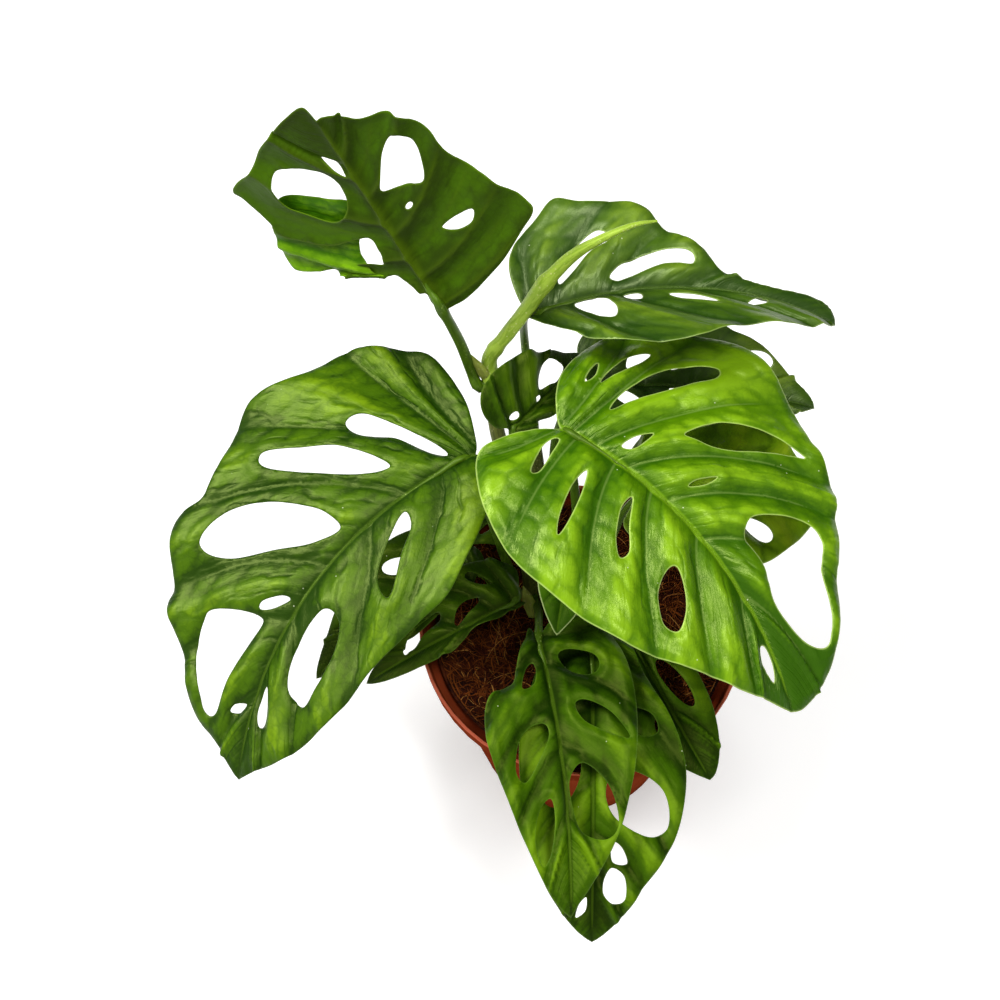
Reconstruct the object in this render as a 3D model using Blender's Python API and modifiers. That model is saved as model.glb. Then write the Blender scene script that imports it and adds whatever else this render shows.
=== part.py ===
"""Monstera adansonii in a nursery pot, as one solid for each physical piece.

Frame: metres, +Z up, the origin at the middle of the pot's underside.
"""
import math
from dataclasses import dataclass, field

import bmesh
import bpy
import numpy as np
from mathutils import Vector
from mathutils.geometry import delaunay_2d_cdt

MM = 0.001

# Driving dimensions, in millimetres
POT_HEIGHT = 92.0
POT_RIM_RADIUS = 60.0
POT_RIM_BAND_HEIGHT = 9.0
POT_BAND_STEP = 4.0
POT_FOOT_RADIUS = 38.0
POT_WALL = 1.3
POT_FLOOR = 1.6
POT_DRAIN_HOLES = 6
POT_DRAIN_RADIUS = 3.5
POT_DRAIN_RING = 27.0
SOIL_TOP = 80.0
SOIL_GAP = 0.35
STEM_GAP = 0.35
BLADE_THICKNESS = 0.8
RIB_THICKNESS = 2.2
SEGMENTS = 48


def unit(v):
    """Return v scaled to length one."""
    v = np.asarray(v, float)
    return v / np.linalg.norm(v)


@dataclass
class Leaf:
    """One leaf: where it sits, how it bends, and its flat pattern.

    base, tip: ends of the midrib, in millimetres
    facing: the direction that the upper side looks to, roughly
    arch: total bend of the midrib in degrees; sway: its sideways bow
    fold, cup: angle of the left and right half at the midrib, and its change out to the margin
    left, right: margin points (along, across) as shares of the midrib's length
    holes: closed rows of such points; slits: (start, end, half width, skew) of simple holes
    roll_line: (start, end, radius, degrees) of a rolled margin, which lies right of the line
    veins: (start along, end along, end across) of the side veins, left and then right
    petiole: centre line in millimetres, from the stem to the base
    """

    name: str
    base: tuple
    tip: tuple
    left: list
    right: list
    petiole: list
    veins_left: list = field(default_factory=list)
    veins_right: list = field(default_factory=list)
    holes: list = field(default_factory=list)
    slits: list = field(default_factory=list)
    facing: tuple = (0, 0, 1)
    roll: float = 0.0
    arch: float = 20.0
    sway: float = 0.0
    fold: tuple = (6, 6)
    cup: tuple = (-12, -12)
    twist: float = 0.0
    roll_line: tuple = None
    relief: float = 0.9
    wave: float = 0.0
    spacing: float = 8.0
    stalk: tuple = (1.9, 1.2)
    color: tuple = (0.07, 0.16, 0.02)


LEAVES = {
    "leaf_left_large": Leaf(
        "leaf_left_large", (-38.7, 28.7, 165.0), (-120.0, -70.0, 112.0),
        arch=35, sway=-0.11, fold=(4, 8), cup=(-25, -12), wave=1.2, spacing=7.0,
        left=[(-0.03, 0.05), (0.0, 0.11), (0.05, 0.15), (0.105, 0.17), (0.19, 0.22), (0.316, 0.272),
              (0.40, 0.27), (0.495, 0.258), (0.60, 0.24), (0.684, 0.226), (0.758, 0.20),
              (0.842, 0.153), (0.905, 0.10), (0.953, 0.047)],
        right=[(-0.03, -0.037), (-0.095, -0.163), (-0.128, -0.30), (-0.114, -0.363), (-0.058, -0.43),
               (-0.01, -0.447), (0.084, -0.433), (0.20, -0.46), (0.258, -0.453), (0.337, -0.41),
               (0.453, -0.368), (0.495, -0.361), (0.547, -0.379), (0.60, -0.372), (0.70, -0.31),
               (0.753, -0.30), (0.816, -0.232), (0.921, -0.152), (0.953, -0.075), (0.98, -0.035)],
        holes=[
            [(0.042, -0.034), (0.055, -0.12), (0.084, -0.226), (0.11, -0.253), (0.14, -0.245),
             (0.137, -0.195), (0.09, -0.142), (0.068, -0.06)],
            [(0.160, -0.076), (0.160, -0.12), (0.195, -0.205), (0.242, -0.253), (0.31, -0.319),
             (0.342, -0.305), (0.332, -0.263), (0.279, -0.184), (0.21, -0.105)],
            [(0.352, -0.036), (0.34, -0.079), (0.353, -0.132), (0.41, -0.226), (0.484, -0.284),
             (0.568, -0.297), (0.59, -0.265), (0.563, -0.205), (0.489, -0.132), (0.416, -0.063)],
            [(0.56, -0.024), (0.562, -0.045), (0.60, -0.08), (0.622, -0.078), (0.60, -0.048)],
            [(0.642, -0.06), (0.647, -0.11), (0.689, -0.184), (0.726, -0.198), (0.80, -0.192),
             (0.863, -0.150), (0.905, -0.118), (0.89, -0.087), (0.789, -0.077), (0.705, -0.063)],
            [(0.832, -0.019), (0.845, -0.045), (0.868, -0.052), (0.86, -0.03)],
            [(0.226, 0.042), (0.245, 0.085), (0.316, 0.126), (0.395, 0.174), (0.419, 0.168),
             (0.389, 0.116), (0.295, 0.068)],
            [(0.53, 0.063), (0.532, 0.115), (0.61, 0.146), (0.726, 0.142), (0.753, 0.120),
             (0.732, 0.074), (0.642, 0.05)],
            [(0.763, 0.021), (0.805, 0.047), (0.84, 0.051), (0.858, 0.033), (0.821, 0.016)],
        ],
        veins_left=[(0.0, -0.01, 0.11), (0.09, 0.40, 0.23), (0.30, 0.60, 0.20), (0.58, 0.82, 0.13),
                    (0.78, 0.93, 0.06)],
        veins_right=[(-0.01, -0.10, -0.36), (0.005, -0.01, -0.44), (0.04, 0.29, -0.41),
                     (0.19, 0.52, -0.36), (0.44, 0.68, -0.28), (0.60, 0.80, -0.20),
                     (0.80, 0.95, -0.06)],
        petiole=[(-27, 18.9, 101.1), (-31, 20, 122), (-37, 23, 150), (-38.7, 28.7, 165)],
        color=(0.085, 0.21, 0.022),
    ),
    "leaf_right_large": Leaf(
        "leaf_right_large", (-10.0, 20.0, 195.0), (65.7, -62.0, 150.0),
        arch=35, sway=0.08, fold=(6, 6), cup=(-20, -20), wave=1.0, spacing=7.0,
        left=[(-0.03, 0.022), (-0.084, 0.09), (-0.124, 0.174), (-0.132, 0.29), (-0.11, 0.384),
              (-0.053, 0.458), (0.021, 0.51), (0.126, 0.537), (0.253, 0.526), (0.358, 0.495),
              (0.463, 0.458), (0.516, 0.453), (0.61, 0.416), (0.70, 0.353), (0.784, 0.284),
              (0.863, 0.235), (0.926, 0.190), (0.975, 0.145), (1.005, 0.09), (1.012, 0.035)],
        right=[(-0.037, -0.05), (-0.076, -0.132), (-0.079, -0.205), (-0.011, -0.29),
               (0.068, -0.353), (0.179, -0.405), (0.305, -0.418), (0.442, -0.395),
               (0.558, -0.353), (0.653, -0.29), (0.758, -0.205), (0.842, -0.142), (0.91, -0.079),
               (0.965, -0.033)],
        holes=[
            [(-0.054, 0.158), (-0.052, 0.195), (-0.073, 0.232), (-0.068, 0.19)],
            [(-0.007, 0.35), (-0.033, 0.29), (-0.037, 0.216), (-0.024, 0.182), (-0.008, 0.24),
             (0.0, 0.30)],
            [(0.147, 0.421), (0.10, 0.395), (0.052, 0.32), (0.036, 0.216), (0.037, 0.163),
             (0.053, 0.116), (0.072, 0.175), (0.10, 0.247), (0.137, 0.332), (0.166, 0.39)],
            [(0.149, 0.04), (0.152, 0.085), (0.178, 0.126), (0.182, 0.08), (0.174, 0.047)],
            [(0.232, 0.184), (0.268, 0.279), (0.358, 0.353), (0.442, 0.39), (0.492, 0.405),
             (0.463, 0.374), (0.405, 0.31), (0.33, 0.228), (0.27, 0.193)],
            [(0.377, 0.147), (0.348, 0.10), (0.347, 0.072), (0.372, 0.11)],
            [(0.516, 0.142), (0.558, 0.211), (0.621, 0.268), (0.684, 0.281), (0.768, 0.232),
             (0.858, 0.203), (0.915, 0.160), (0.884, 0.11), (0.81, 0.079), (0.716, 0.065),
             (0.632, 0.095), (0.547, 0.1)],
            [(0.80, -0.028), (0.842, -0.042), (0.90, -0.03), (0.86, -0.012), (0.81, -0.012)],
            [(0.029, -0.045), (0.014, -0.07), (0.026, -0.121), (0.05, -0.176), (0.063, -0.160),
             (0.047, -0.1)],
            [(0.144, -0.084), (0.149, -0.142), (0.189, -0.237), (0.228, -0.29), (0.221, -0.247),
             (0.184, -0.153)],
            [(0.276, -0.066), (0.278, -0.11), (0.326, -0.18), (0.374, -0.214), (0.379, -0.184),
             (0.326, -0.132)],
            [(0.495, -0.116), (0.479, -0.14), (0.51, -0.195), (0.579, -0.235), (0.621, -0.215),
             (0.579, -0.158)],
        ],
        veins_left=[(0.0, -0.09, 0.36), (0.03, 0.02, 0.47), (0.10, 0.33, 0.47), (0.20, 0.58, 0.41),
                    (0.34, 0.66, 0.36), (0.48, 0.78, 0.26), (0.66, 0.98, 0.10)],
        veins_right=[(0.0, -0.06, -0.20), (0.05, 0.16, -0.37), (0.17, 0.42, -0.37),
                     (0.29, 0.60, -0.28), (0.46, 0.74, -0.18), (0.66, 0.88, -0.09)],
        petiole=[(-2, 24.3, 124.8), (-5, 24.5, 160), (-8.5, 23.5, 185), (-10, 20, 195)],
        color=(0.14, 0.31, 0.024),
    ),
    "leaf_upper_left": Leaf(
        "leaf_upper_left", (-47.8, 41.8, 230.0), (-84.3, 66.1, 292.0), facing=(0.1, 1, 0),
        arch=12, sway=-0.02, fold=(0, 0), cup=(10, 10), wave=0.6, spacing=6.0,
        roll_line=((0.205, -0.14), (0.262, -0.345), 0.022, 180),
        left=[(0.0, 0.068), (0.026, 0.153), (0.074, 0.258), (0.126, 0.363), (0.21, 0.49),
              (0.274, 0.583), (0.326, 0.579), (0.442, 0.521), (0.537, 0.447), (0.632, 0.395),
              (0.737, 0.379), (0.842, 0.332), (0.905, 0.262), (0.926, 0.163), (0.979, 0.10),
              (1.0, 0.03)],
        right=[(0.05, -0.022), (0.108, -0.049), (0.175, -0.095), (0.205, -0.152), (0.108, -0.284),
               (0.038, -0.309), (-0.021, -0.303), (-0.099, -0.31), (-0.159, -0.317),
               (-0.186, -0.351), (-0.172, -0.44), (-0.156, -0.551), (-0.121, -0.644),
               (-0.044, -0.691), (0.056, -0.701), (0.126, -0.684), (0.192, -0.668),
               (0.215, -0.653), (0.243, -0.621), (0.246, -0.589), (0.22, -0.498), (0.196, -0.41),
               (0.272, -0.335), (0.3, -0.26), (0.295, -0.19), (0.275, -0.138), (0.308, -0.112),
               (0.353, -0.115), (0.401, -0.13), (0.412, -0.185), (0.42, -0.313), (0.458, -0.412),
               (0.528, -0.535), (0.596, -0.539), (0.726, -0.586), (0.772, -0.617), (0.81, -0.57),
               (0.864, -0.44), (0.95, -0.33), (1.01, -0.22), (1.05, -0.13), (1.072, -0.03)],
        holes=[
            [(0.595, 0.068), (0.58, 0.17), (0.575, 0.25), (0.653, 0.279), (0.75, 0.284),
             (0.81, 0.24), (0.76, 0.165), (0.66, 0.10)],
            [(0.345, 0.195), (0.321, 0.26), (0.335, 0.34), (0.384, 0.37), (0.375, 0.28)],
            [(0.827, -0.331), (0.80, -0.22), (0.749, -0.113), (0.64, -0.105), (0.559, -0.135),
             (0.52, -0.24), (0.59, -0.341), (0.66, -0.40), (0.76, -0.39)],
            [(0.825, -0.10), (0.782, -0.048), (0.717, -0.029), (0.763, -0.069)],
        ],
        slits=[((0.49, 0.115), (0.507, 0.162), 0.011, 0.0)],
        veins_left=[(0.03, 0.20, 0.46), (0.18, 0.42, 0.49), (0.40, 0.66, 0.36), (0.60, 0.86, 0.29),
                    (0.80, 0.96, 0.10)],
        veins_right=[(0.03, 0.16, -0.10), (0.10, 0.30, -0.52), (0.28, 0.48, -0.60),
                     (0.46, 0.86, -0.46), (0.70, 0.98, -0.24)],
        petiole=[(-37.4, 48.1, 177.0), (-39.8, 50.5, 183.0), (-43.4, 48.3, 203.0), (-47.8, 41.8, 230)],
        stalk=(1.3, 1.1),
        color=(0.07, 0.13, 0.012),
    ),
    "leaf_upper_right": Leaf(
        "leaf_upper_right", (-20.3, 58.3, 205.0), (86.0, 66.7, 188.0),
        arch=45, sway=0.05, fold=(18, 25), cup=(-10, -5), wave=1.0, spacing=7.4,
        left=[(-0.025, 0.06), (-0.037, 0.16), (-0.011, 0.247), (0.063, 0.305), (0.116, 0.342),
              (0.189, 0.31), (0.284, 0.295), (0.379, 0.258), (0.432, 0.195), (0.542, 0.125),
              (0.60, 0.062), (0.70, 0.042), (0.80, 0.042), (0.90, 0.053), (0.97, 0.043)],
        right=[(0.012, -0.045), (0.084, -0.132), (0.168, -0.226), (0.26, -0.28), (0.36, -0.30),
               (0.47, -0.285), (0.547, -0.247), (0.642, -0.21), (0.747, -0.174), (0.853, -0.121),
               (0.942, -0.058)],
        holes=[
            [(0.10, 0.068), (0.115, 0.13), (0.179, 0.184), (0.235, 0.205), (0.26, 0.16),
             (0.20, 0.132), (0.15, 0.09)],
            [(0.253, 0.045), (0.30, 0.088), (0.421, 0.116), (0.50, 0.108), (0.505, 0.068),
             (0.42, 0.068), (0.31, 0.04)],
            [(0.145, -0.014), (0.15, -0.05), (0.205, -0.121), (0.25, -0.145), (0.258, -0.1),
             (0.221, -0.03)],
            [(0.29, -0.021), (0.30, -0.042), (0.34, -0.056), (0.335, -0.03)],
            [(0.42, -0.055), (0.46, -0.084), (0.558, -0.098), (0.50, -0.066)],
            [(0.663, -0.063), (0.73, -0.014), (0.72, -0.055)],
        ],
        veins_left=[(0.0, 0.0, 0.21), (0.08, 0.24, 0.27), (0.26, 0.42, 0.18), (0.50, 0.60, 0.05)],
        veins_right=[(0.02, 0.14, -0.17), (0.12, 0.34, -0.28), (0.27, 0.60, -0.21),
                     (0.50, 0.84, -0.11), (0.74, 0.95, -0.04)],
        petiole=[(-17.2, 55.6, 127.3), (-18, 64, 140), (-21, 79, 158), (-21.5, 74, 182),
                 (-20.3, 58.3, 205)],
        color=(0.06, 0.135, 0.025),
    ),
    "leaf_right_behind": Leaf(
        "leaf_right_behind", (2.0, 61.7, 158.0), (82.9, 56.3, 152.0),
        arch=30, fold=(18, 22), cup=(-15, -15), wave=0.8, spacing=9.0,
        left=[(-0.04, 0.08), (-0.05, 0.20), (0.05, 0.29), (0.22, 0.32), (0.40, 0.32), (0.58, 0.29),
              (0.74, 0.20), (0.86, 0.12), (0.96, 0.05)],
        right=[(-0.04, -0.08), (-0.05, -0.18), (0.05, -0.26), (0.22, -0.30), (0.42, -0.29),
               (0.62, -0.23), (0.80, -0.15), (0.94, -0.05)],
        slits=[((0.55, 0.12), (0.78, 0.15), 0.045, 0.2), ((0.16, 0.06), (0.26, 0.20), 0.035, 0.2),
               ((0.34, 0.06), (0.46, 0.19), 0.035, 0.2), ((0.10, -0.05), (0.24, -0.19), 0.035, 0.2),
               ((0.34, -0.04), (0.56, -0.13), 0.05, 0.2)],
        veins_left=[(0.02, 0.10, 0.25), (0.22, 0.36, 0.27), (0.42, 0.58, 0.26), (0.68, 0.86, 0.12)],
        veins_right=[(0.02, 0.10, -0.22), (0.24, 0.40, -0.24), (0.44, 0.68, -0.18),
                     (0.70, 0.88, -0.08)],
        petiole=[(-10.9, 51.3, 116), (-9.5, 55, 135), (-4, 60.5, 152), (2, 61.7, 158)],
        color=(0.035, 0.085, 0.012),
    ),
    "leaf_centre_dark": Leaf(
        "leaf_centre_dark", (-26.2, 29.9, 177.0), (0.8, 65.3, 172.0), facing=(0.06, -0.62, 0.78),
        arch=20, fold=(16, 10), cup=(4, -10), wave=0.4, spacing=6.0,
        left=[(-0.03, 0.05), (-0.088, 0.114), (-0.11, 0.242), (-0.07, 0.351), (0.021, 0.423),
              (0.169, 0.452), (0.317, 0.43), (0.482, 0.388), (0.558, 0.3125), (0.697, 0.241),
              (0.79, 0.153), (0.90, 0.08)],
        right=[(0.05, -0.06), (0.151, -0.14), (0.208, -0.084), (0.334, -0.135), (0.437, -0.12),
               (0.55, -0.11), (0.75, -0.08), (0.92, -0.04)],
        holes=[
            [(0.393, 0.098), (0.4375, 0.155), (0.52, 0.199), (0.592, 0.22), (0.653, 0.197),
             (0.696, 0.135), (0.708, 0.071), (0.6375, 0.04), (0.575, 0.028), (0.507, 0.053),
             (0.418, 0.073)],
        ],
        slits=[((0.28, 0.05), (0.375, 0.038), 0.02, 0.1), ((0.045, 0.085), (0.12, 0.065), 0.03, 0.1)],
        veins_left=[(0.02, 0.10, 0.36), (0.16, 0.34, 0.38), (0.40, 0.58, 0.24)],
        veins_right=[(0.10, 0.24, -0.10), (0.34, 0.48, -0.10)],
        petiole=[(-21.6, 30.3, 141), (-21.5, 27.2, 150), (-24, 27.8, 165), (-26.2, 29.9, 177.0)],
        stalk=(1.3, 1.1),
        color=(0.02, 0.05, 0.008),
    ),
    "leaf_right_under": Leaf(
        "leaf_right_under", (20.3, 31.6, 132.0), (86.2, 27.4, 132.0),
        arch=24, fold=(8, 8), cup=(-14, -14), wave=0.8, spacing=8.5,
        left=[(-0.05, 0.08), (-0.08, 0.22), (0.04, 0.42), (0.20, 0.50), (0.40, 0.52),
              (0.58, 0.48), (0.76, 0.36), (0.90, 0.20), (0.97, 0.07)],
        right=[(-0.05, -0.08), (-0.08, -0.20), (0.04, -0.32), (0.22, -0.38), (0.44, -0.44),
               (0.62, -0.43), (0.80, -0.31), (0.94, -0.12)],
        slits=[((0.55, -0.15), (0.70, -0.28), 0.045, 0.2), ((0.28, -0.06), (0.42, -0.25), 0.045, 0.2),
               ((0.26, 0.08), (0.40, 0.25), 0.04, 0.2), ((0.56, 0.06), (0.72, 0.18), 0.04, 0.2)],
        veins_left=[(0.02, 0.06, 0.30), (0.22, 0.34, 0.30), (0.44, 0.62, 0.27), (0.70, 0.86, 0.12)],
        veins_right=[(0.02, 0.08, -0.26), (0.22, 0.38, -0.30), (0.44, 0.64, -0.28),
                     (0.72, 0.88, -0.12)],
        petiole=[(6.4, 17.5, 100), (10, 21, 115), (15, 28, 127), (20.3, 31.6, 132)],
        color=(0.075, 0.145, 0.014),
    ),
    "leaf_front": Leaf(
        "leaf_front", (-16.6, -16.0, 113.0), (-6.2, -113.8, 98.0),
        arch=25, sway=0.03, fold=(8, 8), cup=(-12, -12), wave=1.0, spacing=8.0,
        left=[(-0.05, 0.06), (-0.07, 0.14), (-0.02, 0.22), (0.08, 0.27), (0.20, 0.285),
              (0.35, 0.278), (0.50, 0.25), (0.60, 0.22), (0.70, 0.185), (0.80, 0.135),
              (0.90, 0.07), (0.96, 0.025)],
        right=[(-0.045, -0.02), (0.0, -0.045), (0.05, -0.075), (0.12, -0.105), (0.18, -0.13),
               (0.205, -0.20), (0.26, -0.237), (0.34, -0.25), (0.42, -0.245), (0.60, -0.20),
               (0.77, -0.14), (0.90, -0.08), (0.96, -0.04)],
        holes=[
            [(0.10, -0.045), (0.13, -0.075), (0.205, -0.10), (0.19, -0.055), (0.13, -0.036)],
            [(0.335, -0.045), (0.345, -0.10), (0.40, -0.145), (0.50, -0.165), (0.54, -0.135),
             (0.46, -0.075), (0.38, -0.034)],
            [(0.60, -0.055), (0.64, -0.098), (0.74, -0.118), (0.825, -0.095), (0.78, -0.062),
             (0.67, -0.045)],
            [(0.07, 0.09), (0.09, 0.05), (0.15, 0.09), (0.17, 0.16), (0.14, 0.187), (0.10, 0.17)],
            [(0.265, 0.10), (0.285, 0.072), (0.35, 0.10), (0.41, 0.20), (0.418, 0.242),
             (0.34, 0.205), (0.29, 0.155)],
            [(0.484, 0.068), (0.535, 0.13), (0.61, 0.163), (0.716, 0.168), (0.757, 0.12),
             (0.72, 0.045), (0.63, 0.018), (0.537, 0.018)],
        ],
        veins_left=[(0.0, 0.0, 0.19), (0.10, 0.30, 0.26), (0.40, 0.64, 0.20), (0.66, 0.84, 0.10)],
        veins_right=[(0.06, 0.24, -0.21), (0.26, 0.48, -0.22), (0.44, 0.68, -0.16),
                     (0.66, 0.88, -0.08)],
        petiole=[(-16.9, 11.4, 88), (-16.0, 4, 96), (-16.0, -8, 108), (-16.6, -16.0, 113.0)],
        color=(0.05, 0.14, 0.018),
    ),
    "leaf_front_under": Leaf(
        "leaf_front_under", (2.9, -15.7, 106.0), (1.6, -116.1, 78.0),
        arch=40, fold=(6, 6), cup=(-10, -12), wave=0.8, spacing=8.2,
        left=[(-0.05, 0.05), (-0.03, 0.11), (0.06, 0.15), (0.16, 0.195), (0.25, 0.245),
              (0.34, 0.285), (0.44, 0.305), (0.55, 0.295), (0.66, 0.265), (0.75, 0.212),
              (0.82, 0.16), (0.90, 0.105), (0.96, 0.05)],
        right=[(-0.05, -0.05), (-0.03, -0.12), (0.06, -0.17), (0.18, -0.21), (0.32, -0.24),
               (0.46, -0.24), (0.60, -0.22), (0.72, -0.19), (0.82, -0.15), (0.90, -0.10),
               (0.96, -0.05)],
        holes=[
            [(0.44, 0.07), (0.45, 0.15), (0.50, 0.222), (0.57, 0.247), (0.635, 0.237),
             (0.655, 0.175), (0.60, 0.075), (0.52, 0.04)],
            [(0.672, 0.062), (0.69, 0.095), (0.742, 0.112), (0.735, 0.062)],
            [(0.755, 0.055), (0.78, 0.102), (0.85, 0.105), (0.872, 0.070), (0.83, 0.032)],
            [(0.85, -0.02), (0.875, -0.045), (0.918, -0.055), (0.895, -0.022)],
            [(0.22, 0.10), (0.25, 0.19), (0.31, 0.215), (0.33, 0.16), (0.28, 0.09)],
        ],
        slits=[((0.40, -0.05), (0.56, -0.15), 0.05, 0.2), ((0.66, -0.04), (0.78, -0.11), 0.035, 0.2),
               ((0.12, -0.04), (0.28, -0.15), 0.04, 0.2)],
        veins_left=[(0.02, 0.08, 0.13), (0.14, 0.38, 0.27), (0.38, 0.68, 0.23), (0.64, 0.80, 0.15),
                    (0.76, 0.90, 0.09)],
        veins_right=[(0.02, 0.10, -0.16), (0.22, 0.42, -0.21), (0.48, 0.68, -0.17),
                     (0.70, 0.86, -0.10)],
        petiole=[(1.8, 9.3, 86), (1.8, 2, 94), (2.5, -10, 104), (2.9, -15.7, 106.0)],
        color=(0.06, 0.15, 0.015),
    ),
    "leaf_front_right": Leaf(
        "leaf_front_right", (17.8, -10.7, 100.0), (44.6, -60.9, 90.0),
        arch=30, sway=-0.02, fold=(6, 6), cup=(-10, -10), wave=0.4, spacing=8.5,
        left=[(-0.05, 0.08), (-0.02, 0.18), (0.12, 0.25), (0.28, 0.26), (0.44, 0.25),
              (0.62, 0.23), (0.76, 0.19), (0.88, 0.13), (0.97, 0.055)],
        right=[(-0.05, -0.08), (-0.02, -0.20), (0.12, -0.27), (0.28, -0.30), (0.46, -0.29),
               (0.62, -0.245), (0.78, -0.17), (0.92, -0.07)],
        slits=[((0.20, 0.07), (0.56, 0.13), 0.055, -0.1), ((0.16, -0.07), (0.34, -0.20), 0.04, 0.2),
               ((0.48, -0.06), (0.62, -0.15), 0.035, 0.2)],
        veins_left=[(0.02, 0.10, 0.19), (0.50, 0.74, 0.13)],
        veins_right=[(0.02, 0.10, -0.22), (0.28, 0.48, -0.24), (0.58, 0.78, -0.13)],
        petiole=[(7.4, 12.2, 88), (10.5, 6, 94), (14.5, -3, 99), (17.8, -10.7, 100.0)],
        color=(0.045, 0.12, 0.014),
    ),
    "leaf_low_left": Leaf(
        "leaf_low_left", (-24.0, -1.0, 112.0), (-78.6, -26.8, 98.0),
        arch=20, fold=(6, 6), cup=(-12, -12), wave=0.4, spacing=8.2,
        left=[(-0.04, 0.03), (0.06, 0.045), (0.18, 0.048), (0.30, 0.04), (0.37, 0.075),
              (0.46, 0.105), (0.60, 0.10), (0.76, 0.085), (0.88, 0.06), (0.96, 0.03)],
        right=[(-0.05, -0.08), (-0.08, -0.20), (0.02, -0.31), (0.18, -0.34), (0.36, -0.31),
               (0.52, -0.255), (0.68, -0.175), (0.82, -0.10), (0.93, -0.045)],
        holes=[
            [(0.187, -0.12), (0.24, -0.068), (0.36, -0.026), (0.384, -0.047), (0.33, -0.105),
             (0.25, -0.14)],
            [(0.43, -0.145), (0.46, -0.10), (0.60, -0.045), (0.715, -0.018), (0.70, -0.06),
             (0.60, -0.115), (0.50, -0.155)],
            [(0.08, -0.17), (0.16, -0.28), (0.21, -0.262), (0.17, -0.20), (0.12, -0.165)],
        ],
        veins_left=[(0.02, 0.10, 0.035), (0.30, 0.44, 0.08)],
        veins_right=[(0.02, 0.06, -0.26), (0.14, 0.32, -0.25), (0.36, 0.56, -0.19),
                     (0.62, 0.80, -0.09)],
        petiole=[(-24.6, 11.8, 92), (-23.8, 9, 101), (-23.6, 3, 109.5), (-24, -1, 112)],
        color=(0.025, 0.07, 0.01),
    ),
    "leaf_low_left_under": Leaf(
        "leaf_low_left_under", (-44.9, 25.5, 106.0), (-97.8, -20.2, 88.0),
        arch=20, fold=(5, 5), cup=(-12, -12), wave=0.4, spacing=8.5,
        left=[(-0.05, 0.06), (-0.03, 0.15), (0.10, 0.21), (0.28, 0.23), (0.46, 0.22),
              (0.64, 0.18), (0.80, 0.12), (0.93, 0.05)],
        right=[(-0.05, -0.06), (-0.03, -0.16), (0.10, -0.23), (0.28, -0.26), (0.46, -0.24),
               (0.64, -0.19), (0.80, -0.12), (0.93, -0.05)],
        slits=[((0.20, 0.05), (0.36, 0.15), 0.035, 0.2), ((0.20, -0.05), (0.38, -0.17), 0.04, 0.2),
               ((0.50, -0.04), (0.64, -0.12), 0.035, 0.2), ((0.48, 0.04), (0.62, 0.11), 0.03, 0.2)],
        veins_left=[(0.02, 0.08, 0.17), (0.30, 0.46, 0.19), (0.60, 0.76, 0.10)],
        veins_right=[(0.02, 0.08, -0.18), (0.32, 0.48, -0.20), (0.62, 0.78, -0.10)],
        petiole=[(-31.7, 14.2, 88), (-34, 16, 97), (-40, 17, 104), (-44.9, 25.5, 106.0)],
        color=(0.03, 0.075, 0.01),
    ),
    "leaf_low_inner": Leaf(
        "leaf_low_inner", (-22.0, 38.0, 105.0), (-64.0, 40.0, 100.0),
        arch=18, fold=(6, 6), cup=(-14, -14), wave=0.4, spacing=8.5,
        left=[(-0.05, 0.08), (-0.05, 0.20), (0.10, 0.29), (0.30, 0.31), (0.50, 0.28),
              (0.70, 0.20), (0.86, 0.11), (0.95, 0.04)],
        right=[(-0.05, -0.08), (-0.05, -0.20), (0.10, -0.29), (0.30, -0.31), (0.50, -0.28),
               (0.70, -0.20), (0.86, -0.11), (0.95, -0.04)],
        slits=[((0.22, 0.06), (0.36, 0.20), 0.04, 0.2), ((0.50, 0.05), (0.64, 0.14), 0.035, 0.2),
               ((0.22, -0.06), (0.36, -0.20), 0.04, 0.2), ((0.50, -0.05), (0.64, -0.14), 0.035, 0.2)],
        veins_left=[(0.02, 0.08, 0.24), (0.32, 0.48, 0.24), (0.62, 0.78, 0.12)],
        veins_right=[(0.02, 0.08, -0.24), (0.32, 0.48, -0.24), (0.62, 0.78, -0.12)],
        petiole=[(-18.0, 41.0, 99), (-19, 40.5, 102), (-20.5, 39.5, 104.5), (-22, 38, 105)],
        color=(0.03, 0.07, 0.01),
    ),
    "leaf_small_hanging": Leaf(
        "leaf_small_hanging", (-5.0, 7.0, 140.0), (-10.5, -22.0, 126.0),
        arch=20, fold=(14, 14), cup=(-12, -12), wave=0.2, spacing=6.5, relief=0.3,
        left=[(-0.04, 0.10), (0.05, 0.22), (0.25, 0.30), (0.50, 0.28), (0.75, 0.17), (0.92, 0.06)],
        right=[(-0.04, -0.10), (0.05, -0.22), (0.25, -0.30), (0.50, -0.28), (0.75, -0.17),
               (0.92, -0.06)],
        veins_left=[(0.10, 0.30, 0.24), (0.45, 0.68, 0.17)],
        veins_right=[(0.10, 0.30, -0.24), (0.45, 0.68, -0.17)],
        petiole=[(-3, 17.5, 114.5), (-3.6, 15, 128), (-4.5, 11, 137), (-5, 7, 140)],
        stalk=(1.3, 1.0),
        color=(0.06, 0.14, 0.02),
    ),
}

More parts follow.
